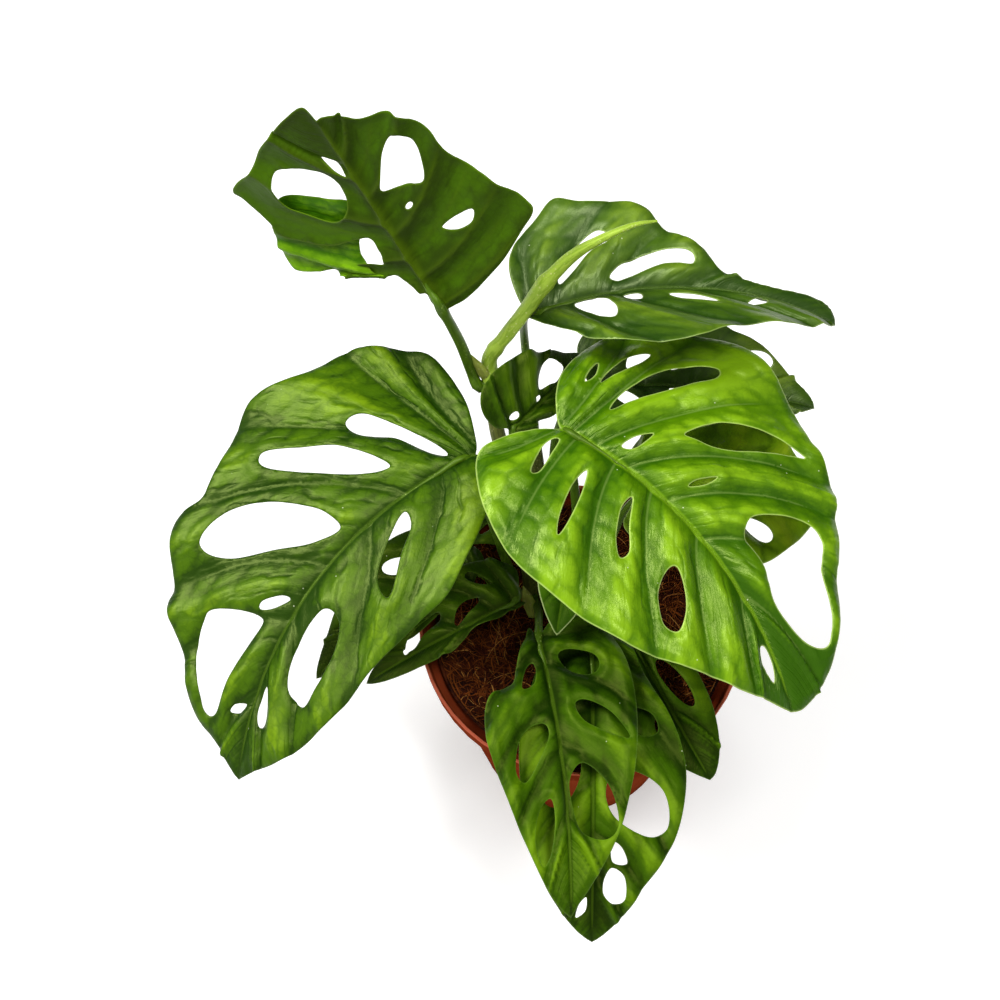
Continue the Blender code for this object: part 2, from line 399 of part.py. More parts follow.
# Vines: centre line in millimetres from the coir upwards, with radii at the same points
STEMS = {
    "stem_main": ([(-19, 14, 62), (-18, 16, 84), (-21, 25, 112), (-26.5, 35.5, 140), (-31.2, 42.6, 158.0),
                   (-33.4, 49.9, 176.0), (-33.7, 52.5, 183.0)],
                  [3.2, 3.2, 3.0, 2.8, 2.8, 2.6, 2.5]),
    "stem_back": ([(-12, 38, 62), (-12, 39, 84), (-13.5, 44, 102), (-16, 50, 116), (-17, 55, 126)],
                  [2.8, 2.8, 2.7, 3.2, 2.4]),
    "stem_right": ([(3, 13, 62), (3, 14, 84), (1, 18, 100), (-1.5, 22, 114), (-2, 24, 124)],
                   [2.8, 2.8, 2.7, 3.0, 2.2]),
    "stem_left": ([(-26, 12, 62), (-26, 13, 82), (-27, 16, 92), (-27, 18.5, 100)],
                  [2.6, 2.6, 2.6, 2.2]),
}
SHOOT = ([(-33.5, 53.4, 186.5), (-27.4, 55.6, 198.0), (-20.8, 57.6, 210.0), (-15.4, 59.1, 221.0),
          (-6.8, 62.4, 231.0), (2.9, 63.4, 239.0), (12.6, 65.5, 243.0), (20.0, 67.1, 243.0)],
         [2.5, 2.5, 2.5, 2.8, 2.2, 1.6, 1.1, 0.4])


class Surface:
    """Curved sheet of a leaf: (along, across) shares of its length to millimetres."""

    def __init__(self, leaf):
        self.leaf = leaf
        self.base = np.array(leaf.base, float)
        tip = np.array(leaf.tip, float)
        self.a = unit(tip - self.base)
        side = unit(np.cross(np.array(leaf.facing, float), self.a))
        normal = np.cross(self.a, side)
        r = math.radians(leaf.roll)
        self.b = side * math.cos(r) + normal * math.sin(r)
        self.n = np.cross(self.a, self.b)
        self.bend = math.radians(leaf.arch)
        chord = np.linalg.norm(tip - self.base)
        self.length = chord * (self.bend / 2) / math.sin(self.bend / 2)
        self.halves = [self.half(0), self.half(1)]

    def half(self, k):
        """Table of one half's cross section: the turning angle summed outwards."""
        t = np.linspace(0, 1.2, 601)
        angle = np.radians(self.leaf.fold[k] + self.leaf.cup[k] * t / 0.5)
        x = np.concatenate([[0], np.cumsum((np.cos(angle)[1:] + np.cos(angle)[:-1]) / 2 * np.diff(t))])
        z = np.concatenate([[0], np.cumsum((np.sin(angle)[1:] + np.sin(angle)[:-1]) / 2 * np.diff(t))])
        return t, x, z

    def rolled(self, u, v, h):
        """Wrap what lies beyond the roll line round a cylinder on the upper side.

        A point at distance d beyond the line goes to R sin(d / R), raised by R (1 - cos(d / R)).
        """
        if not self.leaf.roll_line:
            return u, v, h
        start, end, radius, degrees = self.leaf.roll_line
        line = unit(np.subtract(end, start))
        out = np.array([line[1], -line[0]])
        d = (u - start[0]) * out[0] + (v - start[1]) * out[1]
        past_start = (u - start[0]) * line[0] + (v - start[1]) * line[1] > -0.005
        beyond = np.maximum(d, 0) * past_start
        most = math.radians(degrees)
        angle = np.minimum(beyond / radius, most)
        rest = np.maximum(beyond - most * radius, 0)
        lift = np.asarray(h, float) / self.length
        reach = radius * np.sin(angle) + rest * math.cos(most) - lift * np.sin(angle)
        rise = radius * (1 - np.cos(angle)) + rest * math.sin(most) - lift * (1 - np.cos(angle))
        move = reach - beyond
        return u + out[0] * move, v + out[1] * move, h + rise * self.length

    def point(self, u, v, h):
        """Position in millimetres, h being the height above the sheet."""
        bend = self.bend
        u, v, h = self.rolled(u, v, h)
        along = self.length * (math.sin(bend / 2) - np.sin(bend / 2 - bend * u)) / bend
        rise = self.length * (np.cos(bend / 2 - bend * u) - math.cos(bend / 2)) / bend
        pitch = bend * (0.5 - u)
        bow = self.leaf.sway * 4 * u * (1 - u) * self.length
        mid = (self.base + along[:, None] * self.a + rise[:, None] * self.n + bow[:, None] * self.b)
        up = np.cos(pitch)[:, None] * self.n - np.sin(pitch)[:, None] * self.a
        turn = math.radians(self.leaf.twist) * u
        side = np.cos(turn)[:, None] * self.b + np.sin(turn)[:, None] * up
        top = np.cos(turn)[:, None] * up - np.sin(turn)[:, None] * self.b
        t = np.abs(v)
        left, right = self.halves
        x = np.where(v >= 0, np.interp(t, left[0], left[1]), -np.interp(t, right[0], right[1]))
        z = np.where(v >= 0, np.interp(t, left[0], left[2]), np.interp(t, right[0], right[2]))
        return mid + side * (x * self.length)[:, None] + top * (z * self.length + h)[:, None]


def vein_at(vein, v):
    """Where a side vein is along the leaf at the distance v across it."""
    start, end, across = vein
    t = np.clip(np.abs(v) / abs(across), 0, 1.15)
    return start + (end - start) * (0.45 * t + 0.55 * t * t)


def relief_at(leaf, u, v):
    """Height of the sheet between the side veins, in millimetres.

    The height is sin(pi * phase) squared times the relief, phase running from one vein to the next.
    """
    height = np.zeros(len(u))
    for side, veins in ((1, leaf.veins_left), (-1, leaf.veins_right)):
        rows = sorted(veins, key=lambda vein: vein[0] + vein[1])
        mine = v * side > 0
        if len(rows) < 2:
            continue
        lines = np.array([vein_at(vein, v) for vein in rows])
        for k in range(len(rows) - 1):
            gap = np.maximum(lines[k + 1] - lines[k], 0.02)
            phase = (u - lines[k]) / gap
            inside = mine & (phase >= 0) & (phase <= 1)
            height = np.where(inside, np.sin(np.pi * np.clip(phase, 0, 1)) ** 2, height)
    fade = np.clip(np.abs(v) / 0.05, 0, 1)
    return leaf.relief * height * fade


def wave_at(leaf, u, v):
    """Slow wave of the margin, in millimetres, growing with the distance from the midrib."""
    across = np.clip(np.abs(v) / 0.45, 0, 1) ** 2
    return leaf.wave * across * np.sin(15.0 * u + 2.2 * np.sign(v) + 5.0 * np.abs(v))


def smooth_loop(points, step, closed=True):
    """Spline (Catmull-Rom) through the points, resampled at about the given step."""
    pts = np.array(points, float)
    n = len(pts)
    spans = range(n) if closed else range(n - 1)
    dense = []
    for i in spans:
        p0 = pts[(i - 1) % n] if closed or i > 0 else pts[i]
        p1 = pts[i]
        p2 = pts[(i + 1) % n]
        p3 = pts[(i + 2) % n] if closed or i + 2 < n else p2
        t = np.linspace(0, 1, 12, endpoint=False)[:, None]
        dense.append(0.5 * ((2 * p1) + (p2 - p0) * t + (2 * p0 - 5 * p1 + 4 * p2 - p3) * t ** 2
                            + (3 * p1 - p0 - 3 * p2 + p3) * t ** 3))
    dense.append(pts[:1] if closed else pts[-1:])
    dense = np.concatenate(dense)
    run = np.concatenate([[0], np.cumsum(np.linalg.norm(np.diff(dense, axis=0), axis=1))])
    count = max(6 if closed else 2, int(round(run[-1] / step)))
    at = np.linspace(0, run[-1], count + 1)
    if closed:
        at = at[:-1]
    return np.stack([np.interp(at, run, dense[:, 0]), np.interp(at, run, dense[:, 1])], 1)


def slit_loop(start, end, half_width, skew):
    """Egg-shaped hole between two points: half width W sin(a) (1 - skew cos(a))."""
    a = np.linspace(0, 2 * np.pi, 12, endpoint=False)
    s = (1 - np.cos(a)) / 2
    w = half_width * np.sin(a) * (1 - skew * np.cos(a))
    start = np.array(start, float)
    d = np.array(end, float) - start
    across = np.array([-d[1], d[0]]) / np.linalg.norm(d)
    return start + s[:, None] * d + w[:, None] * across


def inside_loop(loop, points):
    """True for each point that lies within the closed loop (ray crossing count)."""
    x, y = points[:, 0], points[:, 1]
    hit = np.zeros(len(points), bool)
    for p, q in zip(loop, np.roll(loop, -1, axis=0)):
        span = (p[1] > y) != (q[1] > y)
        safe = np.where(span, q[1] - p[1], 1.0)
        hit ^= span & (x < (q[0] - p[0]) * (y - p[1]) / safe + p[0])
    return hit


def distance_to_loops(loops, points):
    """Smallest distance of each point to the loops' points and edge middles."""
    best = np.full(len(points), 9.0)
    for loop in loops:
        nxt = np.roll(loop, -1, axis=0)
        for s in (0.0, 0.25, 0.5, 0.75):
            row = loop * (1 - s) + nxt * s
            d = np.linalg.norm(points[:, None] - row[None], axis=2).min(1)
            best = np.minimum(best, d)
    return best


def roll_rows(leaf):
    """Roll line's start, direction, outward direction and the distances of the rows across the roll."""
    start, end, radius, degrees = leaf.roll_line
    line = unit(np.subtract(end, start))
    out = np.array([line[1], -line[0]])
    return np.array(start), line, out, np.linspace(0, math.radians(degrees) * radius, 5)


def split_at_roll(leaf, loop):
    """Outline with a point wherever it crosses a row of the roll."""
    if not leaf.roll_line:
        return loop
    start, line, out, rows = roll_rows(leaf)
    points = []
    for p, q in zip(loop, np.roll(loop, -1, axis=0)):
        points.append(p)
        if (p - start) @ line < -0.02 or (q - start) @ line < -0.02:
            continue
        a, b = (p - start) @ out, (q - start) @ out
        cuts = [(row - a) / (b - a) for row in rows if (row - a) * (row - b) < 0]
        points += [p + (q - p) * cut for cut in sorted(cuts) if 0.08 < cut < 0.92]
    return np.array(points)


def leaf_pattern(leaf, length):
    """Flat triangle mesh of the blade: points (along, across), triangles and midrib points."""
    step = leaf.spacing / length
    left = smooth_loop([(0.0, 0.0)] + leaf.left + [(1.0, 0.0)], step, closed=False)
    right = smooth_loop([(1.0, 0.0)] + leaf.right[::-1] + [(0.0, 0.0)], step, closed=False)
    outline = split_at_roll(leaf, np.concatenate([left[:-1], right[:-1]]))
    holes = [smooth_loop(hole, step * 0.85) for hole in leaf.holes]
    for start, end, half_width, skew in leaf.slits:
        holes.append(smooth_loop(slit_loop(start, end, half_width, skew), step * 0.85))
    loops = [outline] + holes
    inner = [(u, 0.0) for u in np.arange(step, 1 - 0.6 * step, step)]
    for veins in (leaf.veins_left, leaf.veins_right):
        rows = sorted(veins, key=lambda vein: vein[0] + vein[1])
        lines = list(rows)
        for a, b in zip(rows, rows[1:]):
            lines.append(tuple((p + q) / 2 for p, q in zip(a, b)))
        for line in lines:
            end = abs(line[2])
            for w in np.arange(step * 0.9, end, step * 0.95):
                v = math.copysign(w, line[2])
                inner.append((float(vein_at(line, v)), v))
    inner = np.array(inner)
    rolled = np.zeros(len(inner), bool)
    if leaf.roll_line:
        start, line, out, rows = roll_rows(leaf)
        across = (inner - start) @ out
        clear = ((inner - start) @ line < 0) | (across < -0.4 * step) | (across > rows[-1] + 0.4 * step)
        strip = [start + line * s + out * row for row in rows for s in np.arange(0.012, 0.30, 0.6 * step)]
        rolled = np.concatenate([np.zeros(clear.sum(), bool), np.ones(len(strip), bool)])
        inner = np.concatenate([inner[clear], strip])
    keep = inside_loop(outline, inner)
    for hole in holes:
        keep &= ~inside_loop(hole, inner)
    keep &= distance_to_loops(loops, inner) > np.where(rolled, 0.25, 0.42) * step
    chosen = []
    for p, dense in zip(inner[keep], rolled[keep]):
        if dense or all(np.hypot(*(p - q)) > 0.55 * step for q in chosen):
            chosen.append(p)
    points = np.concatenate(loops + [np.array(chosen)])
    edges = []
    at = 0
    for loop in loops:
        n = len(loop)
        edges += [(at + i, at + (i + 1) % n) for i in range(n)]
        at += n
    verts, _, faces, _, _, _ = delaunay_2d_cdt([Vector(p) for p in points], edges, [], 0, 1e-7)
    verts = np.array([(p.x, p.y) for p in verts])
    tris = np.array(faces)
    middle = verts[tris].mean(1)
    good = inside_loop(outline, middle)
    for hole in holes:
        good &= ~inside_loop(hole, middle)
    tris = tris[good]
    used = np.unique(tris)
    index = np.full(len(verts), -1)
    index[used] = np.arange(len(used))
    return verts[used], index[tris]


def material(name, color, roughness):
    """Plain Principled material."""
    mat = bpy.data.materials.new(name)
    mat.use_nodes = True
    shader = mat.node_tree.nodes["Principled BSDF"]
    shader.inputs["Base Color"].default_value = (*color, 1.0)
    shader.inputs["Roughness"].default_value = roughness
    shader.inputs["Metallic"].default_value = 0.0
    return mat


def into(collection, obj):
    """Move the object into the collection."""
    for old in obj.users_collection:
        old.objects.unlink(obj)
    collection.objects.link(obj)
    return obj


def mesh_object(name, verts, faces, collection):
    """Object from points in millimetres."""
    mesh = bpy.data.meshes.new(name)
    points = [tuple(float(c) * MM for c in v) for v in verts]
    mesh.from_pydata(points, [], [tuple(map(int, face)) for face in faces])
    mesh.update()
    obj = bpy.data.objects.new(name, mesh)
    collection.objects.link(obj)
    return obj


def evaluated(obj):
    """New mesh of the object with its modifiers applied."""
    bpy.context.view_layer.update()
    graph = bpy.context.evaluated_depsgraph_get()
    return bpy.data.meshes.new_from_object(obj.evaluated_get(graph))


def tube(name, centres, radii, collection, sides=8, smooth=True):
    """Bevelled curve through the centre line, made a mesh with welded caps."""
    pts = np.array(centres, float)
    radii = np.array(radii, float)
    if smooth:
        n = len(pts)
        fine = []
        widths = []
        for i in range(n - 1):
            p0, p1, p2, p3 = pts[max(i - 1, 0)], pts[i], pts[i + 1], pts[min(i + 2, n - 1)]
            for t in (0.0, 0.34, 0.67):
                fine.append(0.5 * (2 * p1 + (p2 - p0) * t + (2 * p0 - 5 * p1 + 4 * p2 - p3) * t * t
                                   + (3 * p1 - p0 - 3 * p2 + p3) * t ** 3))
                widths.append(radii[i] * (1 - t) + radii[i + 1] * t)
        fine.append(pts[-1])
        widths.append(radii[-1])
        pts, radii = np.array(fine), np.array(widths)
    curve = bpy.data.curves.new(name, "CURVE")
    curve.dimensions = "3D"
    curve.bevel_depth = MM
    curve.bevel_resolution = max(0, sides // 2 - 2)
    curve.use_fill_caps = True
    spline = curve.splines.new("POLY")
    spline.points.add(len(pts) - 1)
    for point, centre, radius in zip(spline.points, pts, radii):
        point.co = (*(centre * MM), 1.0)
        point.radius = radius
    holder = bpy.data.objects.new(name + "_curve", curve)
    collection.objects.link(holder)
    mesh = evaluated(holder)
    obj = bpy.data.objects.new(name, mesh)
    obj.matrix_world = holder.matrix_world
    collection.objects.link(obj)
    bpy.data.objects.remove(holder)
    bm = bmesh.new()
    bm.from_mesh(mesh)
    bmesh.ops.remove_doubles(bm, verts=bm.verts, dist=1e-6)
    bmesh.ops.recalc_face_normals(bm, faces=bm.faces)
    bm.to_mesh(mesh)
    bm.free()
    return obj


def guide(obj):
    """Keep a cutter or a joined half out of the build."""
    obj.hide_render = True
    obj.display_type = "WIRE"
    return obj


def join_solid(target, other, operation):
    """Add a Boolean modifier that joins or cuts."""
    mod = target.modifiers.new(operation.title(), "BOOLEAN")
    mod.operation = operation
    mod.object = other
    mod.solver = "EXACT"
    return mod


def make_leaf(leaf, parts, guides):
    """Blade with its thick midrib, joined with its petiole."""
    sheet = Surface(leaf)
    flat, tris = leaf_pattern(leaf, sheet.length)
    u, v = flat[:, 0], flat[:, 1]
    height = relief_at(leaf, u, v) + wave_at(leaf, u, v)
    obj = mesh_object(leaf.name, sheet.point(u, v, height), tris, parts)
    mesh = obj.data
    bm = bmesh.new()
    bm.from_mesh(mesh)
    bmesh.ops.recalc_face_normals(bm, faces=bm.faces)
    up = Vector(sheet.n)
    if sum(face.normal.dot(up) * face.calc_area() for face in bm.faces) < 0:
        bmesh.ops.reverse_faces(bm, faces=bm.faces)
    bm.to_mesh(mesh)
    bm.free()
    group = obj.vertex_groups.new(name="rib")
    thin = BLADE_THICKNESS / RIB_THICKNESS
    for i, (along, across) in enumerate(flat):
        on_rib = abs(across) < 1e-4 and 0 < along < 1
        share = thin + (1 - thin) * max(0.0, 1 - along) if on_rib else thin
        group.add([i], share, "REPLACE")
    shell = obj.modifiers.new("Thickness", "SOLIDIFY")
    shell.thickness = RIB_THICKNESS * MM
    shell.offset = -1.0
    shell.vertex_group = "rib"
    if leaf.petiole:
        inner = sheet.point(np.array([0.03, 0.10]), np.array([0.0, 0.0]), np.array([-1.3, -1.3]))
        line = list(leaf.petiole[:-1]) + [tuple(inner[0]), tuple(inner[1])]
        thick, slim = leaf.stalk
        widths = list(np.linspace(thick, slim, len(line) - 1)) + [slim * 0.75]
        stalk = tube(leaf.name + "_stalk", line, widths, guides, sides=6)
        guide(stalk)
        join_solid(obj, stalk, "UNION")
    obj.data.materials.append(material("leaf " + leaf.name[5:], leaf.color, 0.38))
    return obj


def screw_profile(name, profile, steps, collection):
    """Turned body: profile points (radius, height) in millimetres around Z."""
    mesh = bpy.data.meshes.new(name)
    verts = [(r * MM, 0.0, z * MM) for r, z in profile]
    mesh.from_pydata(verts, [(i, i + 1) for i in range(len(verts) - 1)], [])
    obj = bpy.data.objects.new(name, mesh)
    collection.objects.link(obj)
    screw = obj.modifiers.new("Turn", "SCREW")
    screw.steps = steps
    screw.render_steps = steps
    screw.use_merge_vertices = True
    screw.merge_threshold = 0.00005
    return obj


def wall_radius(z):
    """Outer radius of the pot's plain wall at height z."""
    top = POT_RIM_RADIUS - POT_BAND_STEP
    return POT_FOOT_RADIUS + (top - POT_FOOT_RADIUS) * z / POT_HEIGHT


def turned(name, outline, collection, steps=SEGMENTS):
    """Turned solid whose profile starts and ends on the axis; the poles are welded."""
    obj = screw_profile(name + "_turn", outline, steps, collection)
    mesh = evaluated(obj)
    bpy.data.objects.remove(obj)
    bm = bmesh.new()
    bm.from_mesh(mesh)
    bmesh.ops.remove_doubles(bm, verts=bm.verts, dist=5e-5)
    bmesh.ops.dissolve_degenerate(bm, edges=bm.edges, dist=1e-6)
    bmesh.ops.recalc_face_normals(bm, faces=bm.faces)
    bm.to_mesh(mesh)
    bm.free()
    body = bpy.data.objects.new(name, mesh)
    collection.objects.link(body)
    return body


def pot_outline():
    """Half section of the pot, from the floor's middle up inside and down outside."""
    band = POT_HEIGHT - POT_RIM_BAND_HEIGHT
    return [
        (0.0, POT_FLOOR),
        (POT_FOOT_RADIUS - POT_WALL - 2.0, POT_FLOOR),
        (wall_radius(4.0) - POT_WALL, 4.0),
        (wall_radius(band) - POT_WALL, band),
        (POT_RIM_RADIUS - POT_WALL - 1.4, band + 3.0),
        (POT_RIM_RADIUS - POT_WALL, POT_HEIGHT - 0.9),
        (POT_RIM_RADIUS - 0.9, POT_HEIGHT),
        (POT_RIM_RADIUS - 0.2, POT_HEIGHT),
        (POT_RIM_RADIUS, POT_HEIGHT - 0.8),
        (POT_RIM_RADIUS - 0.2, POT_HEIGHT - 2.2),
        (POT_RIM_RADIUS - 1.1, band + 0.8),
        (POT_RIM_RADIUS - 1.6, band),
        (wall_radius(band), band - 0.3),
        (wall_radius(5.0), 5.0),
        (wall_radius(2.0), 1.6),
        (POT_FOOT_RADIUS - 1.0, 0.0),
        (0.0, 0.0),
    ]


def pot_and_soil(parts, guides):
    """Pot with drainage holes, and the coir that fills it with the stems' holes."""
    pot = turned("pot", pot_outline(), parts)
    for k in range(POT_DRAIN_HOLES):
        angle = 2 * math.pi * (k + 0.46) / POT_DRAIN_HOLES
        bpy.ops.mesh.primitive_cylinder_add(
            vertices=12, radius=POT_DRAIN_RADIUS * MM, depth=8 * MM,
            location=(POT_DRAIN_RING * MM * math.cos(angle), POT_DRAIN_RING * MM * math.sin(angle), 0))
        drill = guide(into(guides, bpy.context.object))
        drill.name = f"drain_{k + 1}"
        join_solid(pot, drill, "DIFFERENCE")
    pot.data.materials.append(material("terracotta plastic", (0.30, 0.075, 0.035), 0.5))
    gap = POT_WALL + SOIL_GAP
    coir = turned("coir_soil", [
        (0.0, SOIL_TOP + 1.5),
        (18.0, SOIL_TOP + 1.0),
        (36.0, SOIL_TOP + 0.4),
        (50.0, SOIL_TOP - 0.6),
        (wall_radius(SOIL_TOP - 3) - gap - 0.6, SOIL_TOP - 3.4),
        (wall_radius(60.0) - gap - 0.1, 60.0),
        (wall_radius(5.0) - gap - 0.1, 5.0),
        (POT_FOOT_RADIUS - POT_WALL - 3.0, POT_FLOOR + SOIL_GAP),
        (0.0, POT_FLOOR + SOIL_GAP),
    ], parts, steps=40)
    bm = bmesh.new()
    bm.from_mesh(coir.data)
    bmesh.ops.triangulate(bm, faces=bm.faces)
    bm.to_mesh(coir.data)
    bm.free()
    rng = np.random.default_rng(11)
    for vert in coir.data.vertices:
        r = math.hypot(vert.co.x, vert.co.y) / MM
        if vert.co.z > (SOIL_TOP - 1.5) * MM and 5 < r < 51:
            vert.co.z += float(rng.uniform(-1.0, 1.3)) * MM
    for name, (line, radii) in STEMS.items():
        foot = np.array(line[0], float)
        foot -= unit(np.array(line[1], float) - foot) * STEM_GAP
        bore = tube("hole_" + name, [foot, line[1], line[2]], [r + STEM_GAP for r in radii[:3]],
                    guides, sides=10)
        guide(bore)
        join_solid(coir, bore, "DIFFERENCE")
    coir.data.materials.append(material("coir", (0.075, 0.028, 0.012), 0.95))
    return pot, coir


def make_stems(parts, guides):
    """Vines with swollen nodes, and the growing tip."""
    for name, (line, radii) in STEMS.items():
        obj = tube(name, line, radii, parts, sides=10)
        color = (0.10, 0.15, 0.02) if name == "stem_main" else (0.06, 0.09, 0.015)
        obj.data.materials.append(material(name.replace("_", " "), color, 0.45))
    line, radii = SHOOT
    shoot = tube("growing_shoot", line, radii, parts, sides=10)
    shoot.data.materials.append(material("growing shoot", (0.33, 0.45, 0.06), 0.35))


def main():
    """Build every piece."""
    for obj in list(bpy.data.objects):
        bpy.data.objects.remove(obj)
    parts = bpy.data.collections.new("monstera_adansonii")
    guides = bpy.data.collections.new("guides")
    bpy.context.scene.collection.children.link(parts)
    bpy.context.scene.collection.children.link(guides)
    pot_and_soil(parts, guides)
    make_stems(parts, guides)
    for leaf in LEAVES.values():
        make_leaf(leaf, parts, guides)
    for obj in parts.objects:
        obj.data.shade_smooth()


main()
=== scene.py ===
"""A young monstera adansonii in a nursery pot.

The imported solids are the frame. Each leaf is dressed with a fine perforated blade on its own
petiole, each vine with a noded stem, and the pot's filling with loose coir. Lengths in the
tables are millimetres, outlines of leaves are in hundredths of the midrib, and everything put
into a mesh is in metres. +Z is up, and the origin is the middle of the pot's underside.
"""

import logging
import math
from dataclasses import dataclass, field
from enum import Enum

import bpy
import numpy as np
from mathutils import Euler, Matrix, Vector
from mathutils.geometry import delaunay_2d_cdt


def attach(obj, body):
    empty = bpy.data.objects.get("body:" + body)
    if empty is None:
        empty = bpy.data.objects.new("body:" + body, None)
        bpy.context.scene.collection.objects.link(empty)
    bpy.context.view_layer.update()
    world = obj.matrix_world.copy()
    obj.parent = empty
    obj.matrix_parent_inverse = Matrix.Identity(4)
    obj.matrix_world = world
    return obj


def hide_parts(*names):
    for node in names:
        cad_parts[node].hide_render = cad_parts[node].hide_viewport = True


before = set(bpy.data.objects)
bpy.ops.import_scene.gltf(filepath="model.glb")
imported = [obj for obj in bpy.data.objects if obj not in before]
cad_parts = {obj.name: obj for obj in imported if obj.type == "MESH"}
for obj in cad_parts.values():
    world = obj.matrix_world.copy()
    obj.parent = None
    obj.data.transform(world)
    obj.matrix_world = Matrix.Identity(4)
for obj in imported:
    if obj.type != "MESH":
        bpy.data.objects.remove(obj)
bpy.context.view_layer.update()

log = logging.getLogger("monstera")

MM = 0.001
BODY = "root"
UV_UNIT = 100.0  # one unit of a leaf's own map, in millimetres
BLADE = 0.42  # thickness of a dressed blade
RIM_BULGE = 0.10  # how far a blade's rounded rim stands out
DOME = 0.6  # height of a tube's domed end, in radii
OUTLINE_STEP = 0.75  # between the points of a margin or a hole
FIELD_STEP = 1.0  # between the points inside a blade
TRIANGLE = 0.866  # height of an even triangle with sides of one
RIB_ROWS = (0.0, 0.55, -0.55, 1.15, -1.15)  # rows of points along the midrib, across it
CREASES = 3.0  # fine creases between two side veins

Point = tuple[float, float, float]
Color = tuple[float, float, float]


class Axis(Enum):
    """Reference direction from which the cross sections of a swept piece are turned."""

    X = (1.0, 0.0, 0.0)
    Y = (0.0, 1.0, 0.0)


@dataclass(frozen=True)
class LeafFinish:
    """Colours and gloss of one leaf.

    deep is the colour in the vein grooves, body that of the blade, bright that of the mottled
    crowns, edge that of the thin margin line, rib that of the midrib's line, under and
    under_vein those of the lower side, speck that of the specks, and sheen tints the
    highlights. The pale crowns against the dark grooves are partly the tissue's own colour and
    partly painted light: the glow of light through the raised pillows. The lines, the mottle,
    the specks, the darker border, the net of finest veins and the creases along the bands are
    strengths from 0 to 1, and pucker scales the bump.
    """

    deep: Color
    body: Color
    bright: Color
    edge: Color = (0.42, 0.55, 0.16)
    under: Color = (0.075, 0.140, 0.010)
    under_vein: Color = (0.22, 0.30, 0.05)
    mottle: float = 0.6
    edge_line: float = 0.35
    rib_line: float = 0.3
    rib: Color = (0.090, 0.180, 0.006)
    rib_shade: float = 0.6
    vein_line: float = 0.0
    roughness: float = 0.36
    gloss: float = 0.42
    specks: float = 0.5
    border: float = 0.0
    net: float = 0.05
    crease: float = 0.12
    pucker: float = 1.1
    sheen: Color = (0.80, 1.0, 0.16)
    speck: Color = (0.72, 0.74, 0.52)


@dataclass(frozen=True)
class VineFinish:
    """Colours of a stem, petiole or shoot, with its roughness and the strength of its grain."""

    body: Color
    streak: Color
    speck: Color
    roughness: float
    bump: float


class Finish(Enum):
    """The finishes that a leaf can have."""

    BRIGHT = LeafFinish(
        deep=(0.020, 0.076, 0.0002), body=(0.060, 0.150, 0.0006), bright=(0.172, 0.325, 0.005),
        edge=(0.42, 0.56, 0.14), mottle=0.45, edge_line=0.55, rib_line=0.75,
        rib=(0.130, 0.260, 0.004), rib_shade=0.1, vein_line=0.12, roughness=0.24, net=0.07,
        crease=0.20, pucker=1.9, sheen=(0.82, 1.0, 0.30))
    MID = LeafFinish(
        deep=(0.007, 0.030, 0.0002), body=(0.037, 0.092, 0.0004), bright=(0.118, 0.212, 0.002),
        edge=(0.020, 0.055, 0.001), mottle=0.6, edge_line=0.55, roughness=0.34, gloss=0.38,
        border=0.22, net=0.10, crease=0.30, pucker=1.4, sheen=(0.80, 1.0, 0.27))
    OLIVE = LeafFinish(
        deep=(0.020, 0.080, 0.0006), body=(0.070, 0.170, 0.001), bright=(0.170, 0.350, 0.005),
        edge=(0.10, 0.17, 0.01), under=(0.015, 0.040, 0.0001), under_vein=(0.045, 0.085, 0.0008),
        mottle=0.5, roughness=0.42, gloss=0.22)
    GREY = LeafFinish(
        deep=(0.012, 0.042, 0.0006), body=(0.040, 0.092, 0.002), bright=(0.120, 0.205, 0.008),
        mottle=0.5, edge_line=0.3, roughness=0.30, gloss=0.6, sheen=(0.84, 1.0, 0.50))
    DARK = LeafFinish(
        deep=(0.005, 0.020, 0.0002), body=(0.017, 0.048, 0.0003), bright=(0.052, 0.108, 0.001),
        edge=(0.10, 0.20, 0.02), mottle=0.5, edge_line=0.15, roughness=0.34, gloss=0.32)
    # paler copy of the greens: painted light that lifts the shade on leaf_right_under beneath the leaves
    # above
    UNDER_BRIGHT = LeafFinish(
        deep=(0.045, 0.105, 0.0008), body=(0.120, 0.230, 0.002), bright=(0.240, 0.360, 0.008),
        mottle=0.5, roughness=0.40)
    DEEP = LeafFinish(
        deep=(0.004, 0.018, 0.0001), body=(0.025, 0.070, 0.0002), bright=(0.092, 0.182, 0.002),
        edge=(0.12, 0.24, 0.02), mottle=0.3, edge_line=0.2, roughness=0.40, gloss=0.24)
    YOUNG = LeafFinish(
        deep=(0.012, 0.050, 0.0003), body=(0.028, 0.090, 0.0006), bright=(0.060, 0.150, 0.002),
        edge=(0.50, 0.60, 0.24), mottle=0.4, edge_line=0.6, roughness=0.42, gloss=0.3)


PETIOLE = VineFinish(body=(0.055, 0.115, 0.003), streak=(0.030, 0.070, 0.002),
                     speck=(0.20, 0.28, 0.06), roughness=0.42, bump=0.15)
VINE = VineFinish(body=(0.110, 0.125, 0.022), streak=(0.050, 0.062, 0.010),
                  speck=(0.26, 0.24, 0.09), roughness=0.55, bump=0.35)
SHOOT_SKIN = VineFinish(body=(0.310, 0.450, 0.045), streak=(0.180, 0.300, 0.015),
                        speck=(0.480, 0.540, 0.160), roughness=0.36, bump=0.75)
SHEATH_SKIN = VineFinish(body=(0.270, 0.320, 0.050), streak=(0.150, 0.170, 0.025),
                         speck=(0.36, 0.35, 0.13), roughness=0.55, bump=0.25)


def unit(v: np.ndarray) -> np.ndarray:
    """Return v scaled to length one."""
    v = np.asarray(v, float)
    return v / np.linalg.norm(v)


def ease(low: float, high: float, x: np.ndarray) -> np.ndarray:
    """Smooth step from 0 at low to 1 at high: t * t * (3 - 2 t)."""
    t = np.clip((x - low) / (high - low), 0.0, 1.0)
    return t * t * (3.0 - 2.0 * t)


